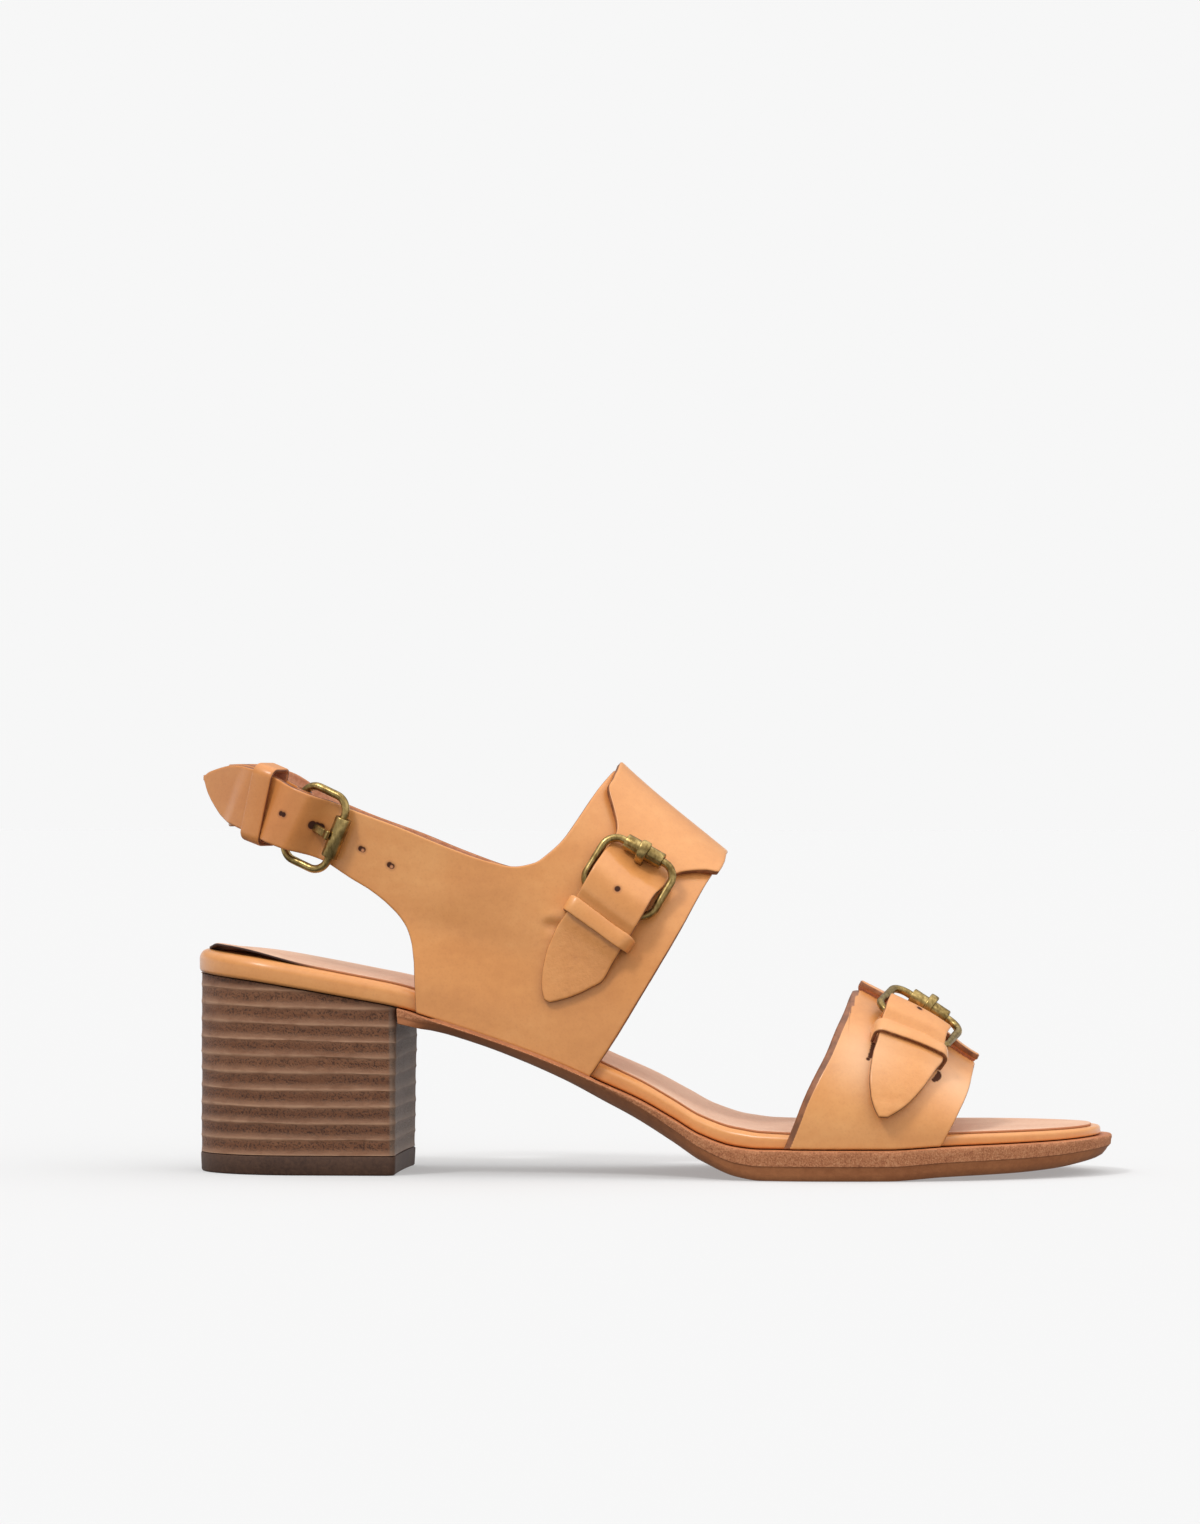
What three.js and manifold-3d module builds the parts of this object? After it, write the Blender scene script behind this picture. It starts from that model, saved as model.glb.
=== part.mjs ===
// Buckle sandal for the right foot, on a stacked block heel.
// Millimetres, +Z up, toe towards +X, outer side of the foot towards -Y.
// The origin lies on the floor under the middle of the shoe's box.

import * as THREE from 'three';
import { mergeVertices } from 'three/addons/utils/BufferGeometryUtils.js';
import Module from 'manifold-3d';

const wasm = await Module();
wasm.setup();

// Lengths of the last and of the sole
const SOLE_LENGTH = 245;
const BALL_WIDTH = 80;
const SEAT_WIDTH = 56;
const HEEL_SEAT = 53.4;
const OUTSOLE_THICKNESS = 8.2;
const PLATFORM_THICKNESS = 6.4;
const SOCK_THICKNESS = 1.3;
const SOCK_INSET = 2.6;
const TOE_MARGIN = 3;
const STRAP_LEDGE = 0.9;
const SOLE_CROWN = 1.3;
const FIT = 0.3;
const NOSE_LENGTH = 27;
const SECTION_SPACING = 9;

// Stacked heel
const HEEL_BREAST = 56;
const LIFT_HEIGHT = 4.33;
const TOP_LIFT_HEIGHT = 5.2;
const LIFT_RIDGE = 0.35;
const HEEL_TAPER = 2;
const BREAST_RAKE = 0.8;

// Upper
const UPPER_WALL = 1.8;
const TAB_WALL = 1.6;
const INSTEP_HEIGHT = 109.9;
const TOE_STRAP_HEIGHT = 49.8;
const RIDGE_SHIFT = 3;
const SLING_BACK = 7.5;
const STRAP_LEAVES = 13.5;
const INNER_SINK = 2;
const ANKLE_AT = 62;
const ANKLE_HALF = 27;
const TAB_WIDTH = 17.2;
const SLING_MARGIN = 0.8;
const SLING_BLEND = 20;
const FLAP_LIFT = 1.3;
const HOLE_LIFT = 3.2;

// Buckles, each a frame of wire with a roller, a prong and a keeper
const WIRE = 2.1;
const FRAME_CORNER = 4;
const BUCKLE_PLAY = 0.8;
const BUCKLE_WIDTH = TAB_WIDTH + 2 * (WIRE + BUCKLE_PLAY);
const ROLLER_LENGTH = 11.4;
const ROLLER_RADIUS = 2.2;
const RUNNING_GAP = 0.3;
const PRONG_WIDTH = 2.4;
const PRONG_THICKNESS = 1.8;
const CHAPE_LAYER = 0.9;
const CHAPE_WIDTH = TAB_WIDTH - 0.8;
const CHAPE_LENGTH = 6.5;
const TOE_CHAPE_LENGTH = 5.5;
const TOE_CHAPE_DROP = 0.7;
const SLING_CHAPE_DROP = 1;
const KEEPER_WALL = 1.2;
const SLING_KEEPER_WIDTH = 5.5;

const LATERAL = -1;
const MEDIAL = 1;

// One row for each section of the sole: place along the length, the middle of its outline and its
// half width as shares of the ball width, the seam's rise as a share of the heel seat's, and the
// thickness of the platform and of the outsole as shares of their own sizes
const SOLE_SECTIONS = [
  { at: 0.000, middle: 0.000, half: 0.348, rise: 1.000, platform: 1.00, outsole: 0.50 },
  { at: 0.068, middle: 0.000, half: 0.350, rise: 0.960, platform: 0.98, outsole: 0.50 },
  { at: 0.124, middle: 0.000, half: 0.350, rise: 0.912, platform: 0.95, outsole: 0.50 },
  { at: 0.180, middle: -0.002, half: 0.349, rise: 0.859, platform: 0.92, outsole: 0.50 },
  { at: 0.233, middle: -0.005, half: 0.341, rise: 0.804, platform: 0.90, outsole: 0.49 },
  { at: 0.277, middle: -0.009, half: 0.325, rise: 0.729, platform: 0.88, outsole: 0.40 },
  { at: 0.320, middle: -0.013, half: 0.310, rise: 0.652, platform: 0.84, outsole: 0.38 },
  { at: 0.363, middle: -0.018, half: 0.300, rise: 0.571, platform: 0.80, outsole: 0.43 },
  { at: 0.407, middle: -0.023, half: 0.295, rise: 0.478, platform: 0.77, outsole: 0.51 },
  { at: 0.449, middle: -0.027, half: 0.302, rise: 0.381, platform: 0.74, outsole: 0.66 },
  { at: 0.494, middle: -0.030, half: 0.327, rise: 0.277, platform: 0.70, outsole: 0.79 },
  { at: 0.531, middle: -0.030, half: 0.356, rise: 0.169, platform: 0.69, outsole: 0.83 },
  { at: 0.561, middle: -0.028, half: 0.385, rise: 0.078, platform: 0.69, outsole: 0.86 },
  { at: 0.600, middle: -0.022, half: 0.422, rise: 0.012, platform: 0.68, outsole: 0.96 },
  { at: 0.626, middle: -0.016, half: 0.450, rise: 0.000, platform: 0.62, outsole: 1.00 },
  { at: 0.678, middle: -0.005, half: 0.480, rise: 0.000, platform: 0.54, outsole: 1.00 },
  { at: 0.722, middle: 0.012, half: 0.492, rise: 0.000, platform: 0.50, outsole: 1.00 },
  { at: 0.763, middle: 0.029, half: 0.495, rise: 0.000, platform: 0.48, outsole: 1.00 },
  { at: 0.824, middle: 0.052, half: 0.490, rise: 0.016, platform: 0.45, outsole: 0.975 },
  { at: 0.902, middle: 0.081, half: 0.475, rise: 0.027, platform: 0.41, outsole: 0.95 },
  { at: 0.947, middle: 0.095, half: 0.462, rise: 0.034, platform: 0.38, outsole: 0.89 },
  { at: 1.000, middle: 0.112, half: 0.450, rise: 0.050, platform: 0.32, outsole: 0.72 },
];

// The top line of the foot that the straps cross: above the heel it stands for the ankle
const RIDGE_SECTIONS = [
  { at: 0.000, instep: 1.86, toe: 0 },
  { at: 0.260, instep: 1.50, toe: 0 },
  { at: 0.380, instep: 1.17, toe: 0 },
  { at: 0.463, instep: 0.974, toe: 0 },
  { at: 0.580, instep: 0.756, toe: 0 },
  { at: 0.595, instep: 0.728, toe: 0 },
  { at: 0.650, instep: 0, toe: 1.17 },
  { at: 0.720, instep: 0, toe: 1.00 },
  { at: 0.786, instep: 0, toe: 0.83 },
  { at: 0.850, instep: 0, toe: 0.60 },
  { at: 0.900, instep: 0, toe: 0.50 },
];

// Edges of the quarter and its sling, seen from the side: height as a share of the instep's
const QUARTER_TOP = [
  { at: 0.010, height: 0.966 },
  { at: 0.020, height: 0.979 },
  { at: 0.050, height: 0.993 },
  { at: 0.075, height: 0.985 },
  { at: 0.121, height: 0.942 },
  { at: 0.178, height: 0.888 },
  { at: 0.233, height: 0.843 },
  { at: 0.287, height: 0.794 },
  { at: 0.330, height: 0.761 },
  { at: 0.357, height: 0.749 },
  { at: 0.378, height: 0.758 },
  { at: 0.394, height: 0.783 },
  { at: 0.409, height: 0.816 },
  { at: 0.424, height: 0.866 },
  { at: 0.444, height: 0.939 },
  { at: 0.451, height: 0.961 },
  { at: 0.458, height: 0.9835 },
];
const QUARTER_REAR = [
  { at: 0.010, height: 0.966 },
  { at: 0.015, height: 0.929 },
  { at: 0.025, height: 0.891 },
  { at: 0.036, height: 0.863 },
  { at: 0.051, height: 0.848 },
  { at: 0.077, height: 0.823 },
  { at: 0.110, height: 0.793 },
  { at: 0.147, height: 0.762 },
  { at: 0.178, height: 0.720 },
  { at: 0.200, height: 0.691 },
  { at: 0.222, height: 0.652 },
  { at: 0.239, height: 0.607 },
  { at: 0.246, height: 0.565 },
  { at: 0.249, height: 0.520 },
];
const QUARTER_FRONT = [
  { at: 0.438, height: 0.239 },
  { at: 0.459, height: 0.308 },
  { at: 0.494, height: 0.435 },
  { at: 0.536, height: 0.595 },
  { at: 0.572, height: 0.743 },
  { at: 0.578, height: 0.760 },
];
const INNER_FRONT = [
  { at: 0.412, height: 0.269 },
  { at: 0.436, height: 0.308 },
  { at: 0.472, height: 0.435 },
  { at: 0.517, height: 0.595 },
  { at: 0.561, height: 0.743 },
  { at: 0.570, height: 0.774 },
];

// Edges of the toe strap, seen from the side: height as a share of the toe strap's
const TOE_REAR = [
  { at: 0.652, height: 0.175 },
  { at: 0.664, height: 0.321 },
  { at: 0.672, height: 0.426 },
  { at: 0.684, height: 0.554 },
  { at: 0.697, height: 0.681 },
  { at: 0.707, height: 0.809 },
  { at: 0.716, height: 0.920 },
  { at: 0.720, height: 1.000 },
];
const TOE_FRONT = [
  { at: 0.822, height: 0.199 },
  { at: 0.829, height: 0.265 },
  { at: 0.839, height: 0.365 },
  { at: 0.849, height: 0.490 },
  { at: 0.852, height: 0.590 },
];
const TOE_INNER_FRONT = [
  { at: 0.802, height: 0.199 },
  { at: 0.809, height: 0.265 },
  { at: 0.822, height: 0.365 },
  { at: 0.837, height: 0.490 },
  { at: 0.846, height: 0.590 },
];

// Each flap and its tab: degrees down the outer side from the ridge, its middle along the length,
// its half width as a share of the tab's, and what the leather lies over there
const INSTEP_TAB = [
  { down: -34, middle: 0.5000, half: 1.05, over: 'join' },
  { down: -24, middle: 0.5080, half: 1.28, over: 'join' },
  { down: -15, middle: 0.5130, half: 1.42, over: 'rise' },
  { down: -7, middle: 0.5165, half: 1.52, over: 'upper' },
  { down: 0, middle: 0.5215, half: 1.67, over: 'upper' },
  { down: 6, middle: 0.5205, half: 1.67, over: 'upper' },
  { down: 12, middle: 0.5190, half: 1.68, over: 'upper' },
  { down: 18, middle: 0.5155, half: 1.70, over: 'upper' },
  { down: 23, middle: 0.5115, half: 1.70, over: 'upper' },
  { down: 26.5, middle: 0.5050, half: 1.54, over: 'upper' },
  { down: 31, middle: 0.5010, half: 1.25, over: 'upper' },
  { down: 35.5, middle: 0.4970, half: 0.97, over: 'upper' },
  { down: 39, middle: 0.4920, half: 0.85, over: 'upper' },
  { down: 43, middle: 0.4870, half: 0.85, over: 'upper' },
  { down: 48, middle: 0.4780, half: 0.85, over: 'hole' },
  { down: 53.3, middle: 0.4695, half: 0.87, over: 'bar' },
  { down: 58.5, middle: 0.4600, half: 0.88, over: 'bar' },
  { down: 61, middle: 0.4545, half: 0.88, over: 'chape' },
  { down: 65, middle: 0.4455, half: 0.87, over: 'chape' },
  { down: 69, middle: 0.4350, half: 0.88, over: 'tip' },
  { down: 73.5, middle: 0.4240, half: 0.84, over: 'tip' },
  { down: 77, middle: 0.4140, half: 0.67, over: 'tip' },
  { down: 80.4, middle: 0.4055, half: 0.41, over: 'tip' },
  { down: 82.5, middle: 0.4005, half: 0.16, over: 'tip' },
];
const TOE_TAB = [
  { down: -34, middle: 0.7820, half: 1.72, over: 'join' },
  { down: -24, middle: 0.7830, half: 1.78, over: 'join' },
  { down: -16, middle: 0.7850, half: 1.80, over: 'rise' },
  { down: -8, middle: 0.7860, half: 1.84, over: 'upper' },
  { down: 0, middle: 0.7875, half: 1.84, over: 'upper' },
  { down: 3, middle: 0.7880, half: 1.74, over: 'upper' },
  { down: 6, middle: 0.7905, half: 1.30, over: 'upper' },
  { down: 10, middle: 0.7860, half: 0.83, over: 'upper' },
  { down: 15, middle: 0.7850, half: 0.81, over: 'upper' },
  { down: 20.5, middle: 0.7830, half: 0.83, over: 'hole' },
  { down: 26, middle: 0.7810, half: 0.85, over: 'bar' },
  { down: 34, middle: 0.7790, half: 0.85, over: 'bar' },
  { down: 39, middle: 0.7795, half: 0.90, over: 'chape' },
  { down: 47, middle: 0.7800, half: 0.93, over: 'chape' },
  { down: 54, middle: 0.7770, half: 0.91, over: 'tip' },
  { down: 64, middle: 0.7715, half: 0.78, over: 'tip' },
  { down: 74, middle: 0.7680, half: 0.46, over: 'tip' },
  { down: 79.5, middle: 0.7650, half: 0.14, over: 'tip' },
];

// Height of a tab's outer face above the panel under it
const BAR_LIFT = FIT + WIRE / 2 + RUNNING_GAP + CHAPE_LAYER;
const FOLD_TOP = BAR_LIFT + WIRE / 2 + RUNNING_GAP + CHAPE_LAYER;
const TAB_LIFTS = {
  join: 0.05,
  rise: FLAP_LIFT,
  upper: 2 * FIT + UPPER_WALL,
  hole: FIT + HOLE_LIFT + TAB_WALL,
  bar: FOLD_TOP + 3 * FIT + TAB_WALL,
  chape: 3 * FIT + 2 * CHAPE_LAYER + TAB_WALL,
  tip: 2 * FIT + TAB_WALL,
};
const ROLLER_LIFT = TAB_LIFTS.upper + FIT + ROLLER_RADIUS;

// Height of the outer sling strap above the inner one, along the length
const SLING_BAR_LIFT = RUNNING_GAP + WIRE / 2;
const SLING_FOLD = SLING_BAR_LIFT + WIRE / 2 + RUNNING_GAP + CHAPE_LAYER;
const SLING_LIFTS = [
  { at: 0.000, lift: 2 * FIT + UPPER_WALL },
  { at: 0.045, lift: 2 * FIT + UPPER_WALL },
  { at: 0.062, lift: 3 * FIT + CHAPE_LAYER + UPPER_WALL },
  { at: 0.097, lift: 3 * FIT + CHAPE_LAYER + UPPER_WALL },
  { at: 0.108, lift: SLING_FOLD + 2 * FIT + UPPER_WALL },
  { at: 0.126, lift: SLING_FOLD + FIT + UPPER_WALL },
  { at: 0.147, lift: 1.0 },
  { at: 0.157, lift: 0 },
  { at: 1.000, lift: 0 },
];
const SLING_SLANT = 0.4;

// Curves through the tables
function smooth(value) {
  const share = THREE.MathUtils.clamp(value, 0, 1);
  return share * share * (3 - 2 * share);
}

// Value of one column at a share of the length, on a curve that never overshoots its rows
function column(rows, name, at, key = 'at') {
  const last = rows.length - 1;
  if (at <= rows[0][key]) return rows[0][name];
  if (at >= rows[last][key]) return rows[last][name];
  const slope = (i) => (rows[i + 1][name] - rows[i][name]) / (rows[i + 1][key] - rows[i][key]);
  const tangent = (i) => {
    if (i === 0) return slope(0);
    if (i === last) return slope(last - 1);
    const before = slope(i - 1);
    const after = slope(i);
    return before * after <= 0 ? 0 : (2 * before * after) / (before + after);
  };
  let i = 0;
  while (at > rows[i + 1][key]) i += 1;
  const step = rows[i + 1][key] - rows[i][key];
  const t = (at - rows[i][key]) / step;
  const rest = 1 - t;
  return rows[i][name] * (1 + 2 * t) * rest * rest
    + rows[i + 1][name] * (1 + 2 * rest) * t * t
    + step * t * rest * (tangent(i) * rest - tangent(i + 1) * t);
}

// Heights of the sole's layers at a place x along the length
const seam = (x) => OUTSOLE_THICKNESS
  + (HEEL_SEAT - OUTSOLE_THICKNESS) * column(SOLE_SECTIONS, 'rise', x / SOLE_LENGTH);
const tread = (x) => seam(x)
  - OUTSOLE_THICKNESS * column(SOLE_SECTIONS, 'outsole', x / SOLE_LENGTH);
const platformTop = (x) => seam(x) + FIT
  + PLATFORM_THICKNESS * column(SOLE_SECTIONS, 'platform', x / SOLE_LENGTH);

// The sole's outline: round at the heel, blunt at the toe, and grown outwards by a margin
const HEEL_ROUND = SEAT_WIDTH / 2;
const TOE_ROUND = BALL_WIDTH * 0.75;
const TOE_FULLNESS = 2.2;
const PLATFORM_END = SOLE_LENGTH - TOE_MARGIN;

function outlineMiddle(x) {
  return BALL_WIDTH * column(SOLE_SECTIONS, 'middle', x / SOLE_LENGTH);
}

function outlineHalf(x, margin) {
  const back = (HEEL_ROUND - x) / (HEEL_ROUND + margin);
  const front = (x - (PLATFORM_END - TOE_ROUND)) / (TOE_ROUND + margin);
  const corner = Math.min(1, Math.max(0, back, front));
  const seat = (SEAT_WIDTH / 2 - 0.35 * BALL_WIDTH) * (1 - smooth(x / SOLE_LENGTH / 0.3));
  const half = BALL_WIDTH * column(SOLE_SECTIONS, 'half', x / SOLE_LENGTH) + seat;
  return (half + margin) * (1 - corner ** TOE_FULLNESS) ** (1 / TOE_FULLNESS);
}

// Places along the sole, close together where its ends are round
function soleStations(from, to, roundBack) {
  const places = [];
  const nose = [0.0019, 0.0185, 0.0556, 0.111, 0.204, 0.333, 0.519, 0.741].map((s) => s * NOSE_LENGTH);
  if (roundBack) places.push(...nose.map((step) => from + step));
  const first = roundBack ? from + NOSE_LENGTH : from;
  const last = to - NOSE_LENGTH;
  const spans = Math.ceil((last - first) / SECTION_SPACING);
  for (let i = 0; i <= spans; i += 1) places.push(first + ((last - first) * i) / spans);
  places.push(...nose.map((step) => to - step).reverse());
  return places;
}

// Solids from sections: each section has two chains of points with the same count
function loft(sections, closed = false) {
  const count = sections[0].outer.length;
  const loops = sections.map(({ outer, inner }) => [...outer, ...[...inner].reverse()]);
  const size = 2 * count;
  const positions = loops.flat().flatMap((point) => [point.x, point.y, point.z]);
  const index = [];
  const spans = closed ? loops.length : loops.length - 1;
  for (let i = 0; i < spans; i += 1) {
    const here = i * size;
    const there = ((i + 1) % loops.length) * size;
    for (let k = 0; k < size; k += 1) {
      const next = (k + 1) % size;
      index.push(here + k, here + next, there + next, here + k, there + next, there + k);
    }
  }
  const end = (loops.length - 1) * size;
  for (let k = 0; k + 1 < count && !closed; k += 1) {
    const mate = size - 1 - k;
    index.push(k, mate, mate - 1, k, mate - 1, k + 1);
    index.push(end + k, end + mate - 1, end + mate, end + k, end + k + 1, end + mate - 1);
  }
  const geometry = new THREE.BufferGeometry();
  geometry.setAttribute('position', new THREE.Float32BufferAttribute(positions, 3));
  geometry.setIndex(index);
  return facingOut(geometry);
}

// Turns the faces outwards where a loft ran the other way round
function facingOut(geometry) {
  const position = geometry.getAttribute('position');
  const index = geometry.index.array;
  const corner = (i) => new THREE.Vector3().fromBufferAttribute(position, index[i]);
  let volume = 0;
  for (let i = 0; i < index.length; i += 3) {
    volume += corner(i).dot(corner(i + 1).cross(corner(i + 2)));
  }
  if (volume < 0) geometry.setIndex(Array.from(index).reverse());
  return geometry;
}

function toSolid(geometry) {
  const bare = geometry.clone();
  bare.deleteAttribute('normal');
  bare.deleteAttribute('uv');
  const merged = mergeVertices(bare, 1e-4);
  return new wasm.Manifold(new wasm.Mesh({
    numProp: 3,
    vertProperties: merged.getAttribute('position').array,
    triVerts: Uint32Array.from(merged.index.array),
  }));
}

function toGeometry(solid) {
  const mesh = solid.getMesh();
  const geometry = new THREE.BufferGeometry();
  geometry.setAttribute('position', new THREE.BufferAttribute(mesh.vertProperties, 3));
  geometry.setIndex(new THREE.BufferAttribute(mesh.triVerts, 1));
  return geometry;
}

// The upper's surface. A rail place is the length along the shoe, or, behind the ankle, the way
// round the back of the sling, which a negative place carries on to the other side. Down is the
// angle from the ridge, negative beyond it.
function railStation(rail) {
  const reach = Math.abs(rail);
  if (reach >= ANKLE_AT) return { x: reach, sling: ANKLE_HALF };
  const turn = (1 - reach / ANKLE_AT) * Math.PI / 2;
  return {
    x: ANKLE_AT - (ANKLE_AT - SLING_BACK) * Math.sin(turn),
    sling: ANKLE_HALF * Math.cos(turn),
  };
}

function railAt(x) {
  if (x >= ANKLE_AT) return x;
  const share = Math.min(1, (ANKLE_AT - x) / (ANKLE_AT - SLING_BACK));
  return ANKLE_AT * (1 - Math.asin(share) / (Math.PI / 2));
}

function ridge(x) {
  const at = x / SOLE_LENGTH;
  return INSTEP_HEIGHT * column(RIDGE_SECTIONS, 'instep', at)
    + TOE_STRAP_HEIGHT * column(RIDGE_SECTIONS, 'toe', at);
}

function downAt(x, z) {
  const floor = platformTop(x);
  const rise = ridge(x) - floor;
  if (z < floor) return Math.PI / 2 + (floor - z) / rise;
  return Math.acos(Math.min(1, (z - floor) / rise));
}

const INSTEP_SPAN = { from: 0.28, full: 0.44 };

function upperPoint(side, rail, down) {
  const facing = rail < 0 ? -side : side;
  const hand = down < 0 ? -facing : facing;
  const { x, sling } = railStation(rail);
  const at = x / SOLE_LENGTH;
  const floor = platformTop(x);
  const rise = ridge(x) - floor;
  const low = down > Math.PI / 2;
  const z = low ? floor - (down - Math.PI / 2) * rise : floor + rise * Math.cos(down);
  const instep = smooth((at - INSTEP_SPAN.from) / (INSTEP_SPAN.full - INSTEP_SPAN.from));
  const centre = RIDGE_SHIFT * smooth((at - 0.24) / 0.19);
  const edge = outlineMiddle(x) + hand * (outlineHalf(x, 0) + FIT + UPPER_WALL);
  const free = smooth((z - floor) / SLING_BLEND) * (1 - instep);
  const half = THREE.MathUtils.lerp(Math.abs(edge - centre), sling, free);
  const lean = low ? 1 : Math.sqrt(Math.max(0, 1 - instep * Math.cos(down) ** 2));
  return new THREE.Vector3(x, centre + hand * half * lean, z);
}

// The outer sling strap leaves the loop behind the heel and runs on straight to its tip
function strapStation(rail) {
  const leaves = railAt(STRAP_LEAVES);
  return { x: rail < leaves ? STRAP_LEAVES - (leaves - rail) : railStation(rail).x };
}

function strapRail(x) {
  return x < STRAP_LEAVES ? railAt(STRAP_LEAVES) - (STRAP_LEAVES - x) : railAt(x);
}

function strapPoint(rail, down, lift) {
  const leaves = railAt(STRAP_LEAVES);
  if (rail >= leaves) return lifted(LATERAL, rail, down, lift);
  const { x } = strapStation(rail);
  const floor = platformTop(x);
  const angle = downAt(STRAP_LEAVES, floor + (ridge(x) - floor) * Math.cos(down));
  const along = upperPoint(LATERAL, leaves, angle).sub(upperPoint(LATERAL, leaves - 0.01, angle));
  const back = (x - STRAP_LEAVES) / along.x;
  return lifted(LATERAL, leaves, angle, lift).add(new THREE.Vector3(along.x, along.y, 0).multiplyScalar(back));
}

function upperNormal(side, rail, down) {
  const step = 1e-3;
  const along = upperPoint(side, rail + step, down).sub(upperPoint(side, rail - step, down));
  const across = upperPoint(side, rail, down + step).sub(upperPoint(side, rail, down - step));
  return along.cross(across).normalize().multiplyScalar(side);
}

function lifted(side, rail, down, lift) {
  return upperPoint(side, rail, down).addScaledVector(upperNormal(side, rail, down), lift);
}

// A leather panel on the upper's surface, between its lower and its upper edge
const PANEL_TIP = 0.01;

function panel({ side, rails, low, high, rows, crowding, lift, top, strap }) {
  const point = strap ? strapPoint : (...where) => lifted(side, ...where);
  const sections = rails.map((rail) => {
    const { x } = strap ? strapStation(rail) : railStation(rail);
    const from = low(x, rail);
    const to = Math.max(high(x, rail), from + 0.5);
    const stop = to >= ridge(x) ? top : downAt(x, to);
    const start = Math.max(downAt(x, from), stop + PANEL_TIP);
    const outer = [];
    const inner = [];
    for (let k = 0; k <= rows; k += 1) {
      const share = 1 - (1 - k / rows) ** crowding;
      const down = THREE.MathUtils.lerp(start, stop, share);
      const height = lift(x, THREE.MathUtils.lerp(from, to, share));
      outer.push(point(rail, down, height));
      inner.push(point(rail, down, height - UPPER_WALL));
    }
    return { outer, inner };
  });
  return loft(sections);
}

// A flap with its tab, row by row from the inner side over the ridge to the pointed tip
function tab(rows, columns) {
  const sections = rows.map(({ down, middle, half, over }) => {
    const angle = THREE.MathUtils.degToRad(down);
    const wall = ['join', 'rise', 'upper'].includes(over) ? UPPER_WALL : TAB_WALL;
    const outer = [];
    const inner = [];
    for (let k = 0; k <= columns; k += 1) {
      const x = SOLE_LENGTH * middle + half * (TAB_WIDTH / 2) * ((2 * k) / columns - 1);
      outer.push(lifted(LATERAL, x, angle, TAB_LIFTS[over]));
      inner.push(lifted(LATERAL, x, angle, TAB_LIFTS[over] - wall));
    }
    return { outer, inner };
  });
  return loft(sections);
}

// Sole
function soleLayer({ from, to, roundBack, chain }) {
  return loft(soleStations(from, to, roundBack).map(chain));
}

function sidedPoints(x, steps) {
  const middle = outlineMiddle(x);
  const left = steps.map(([half, z]) => new THREE.Vector3(x, middle - half, z));
  const right = steps.map(([half, z]) => new THREE.Vector3(x, middle + half, z));
  return [...left, ...right.reverse()];
}

function platformSection(x) {
  const half = outlineHalf(x, 0);
  const bottom = seam(x) + FIT;
  const top = platformTop(x);
  const round = Math.min(0.4 * (top - bottom), half / 2);
  return {
    outer: sidedPoints(x, [
      [half, bottom + round],
      [half - 0.2 * round, bottom],
      [half / 2, bottom],
    ]),
    inner: sidedPoints(x, [
      [half, top - round],
      [half - 0.3 * round, top - 0.3 * round],
      [half - round, top],
    ]),
  };
}

function sockSection(x) {
  const half = outlineHalf(x, -SOCK_INSET);
  const bottom = platformTop(x) + FIT;
  const top = bottom + SOCK_THICKNESS;
  return {
    outer: sidedPoints(x, [[half, bottom], [half / 2, bottom]]),
    inner: sidedPoints(x, [[half - 0.3, top], [half / 2, top]]),
  };
}

const OUTSOLE_MARGIN = FIT + UPPER_WALL + STRAP_LEDGE;
const WAIST_BEVEL = 0.7;

function outsoleSection(x) {
  const back = smooth((x - HEEL_BREAST) / 8);
  const half = outlineHalf(x, OUTSOLE_MARGIN * (0.3 + 0.7 * back));
  const top = seam(x);
  const bottom = tread(x);
  const waist = column(SOLE_SECTIONS, 'rise', x / SOLE_LENGTH);
  const crown = SOLE_CROWN * Math.min(1, half / 30);
  const bevel = Math.min(1, waist * 2.5) * WAIST_BEVEL * (top - bottom);
  const edge = Math.min(top - 0.6, bottom + crown + bevel);
  const draft = Math.min(1.5, half / 4);
  const foot = Math.min(half / 3, draft + 0.6 + 2.5 * bevel);
  return {
    outer: sidedPoints(x, [
      [half - draft, edge],
      [half - foot, bottom + 0.4 * crown],
      [half * 0.55, bottom],
    ]),
    inner: sidedPoints(x, [[half, top - 0.5], [half - 0.4, top], [half * 0.55, top]]),
  };
}

// Heel: a D seen from below, in lifts with a fine raised line between them
function heelOutline(z, grow) {
  const fall = 1 - z / HEEL_SEAT;
  const half = SEAT_WIDTH / 2 - 1 - HEEL_TAPER * fall + grow;
  const breast = HEEL_BREAST - BREAST_RAKE * fall + grow;
  const back = 0.4 - grow;
  const points = [];
  const arcSteps = 10;
  for (let i = 0; i <= arcSteps; i += 1) {
    const turn = Math.PI / 2 + (Math.PI * i) / arcSteps;
    points.push([back + (HEEL_ROUND) * (1 + Math.cos(turn)), half * Math.sin(turn)]);
  }
  const corner = 2;
  points.push([breast - corner, -half + 0.5], [breast, -half + corner + 0.5]);
  points.push([breast - 0.6, 0]);
  points.push([breast, half - corner - 0.5], [breast - corner, half - 0.5]);
  return points.map(([x, y]) => new THREE.Vector3(x, y, z));
}

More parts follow.
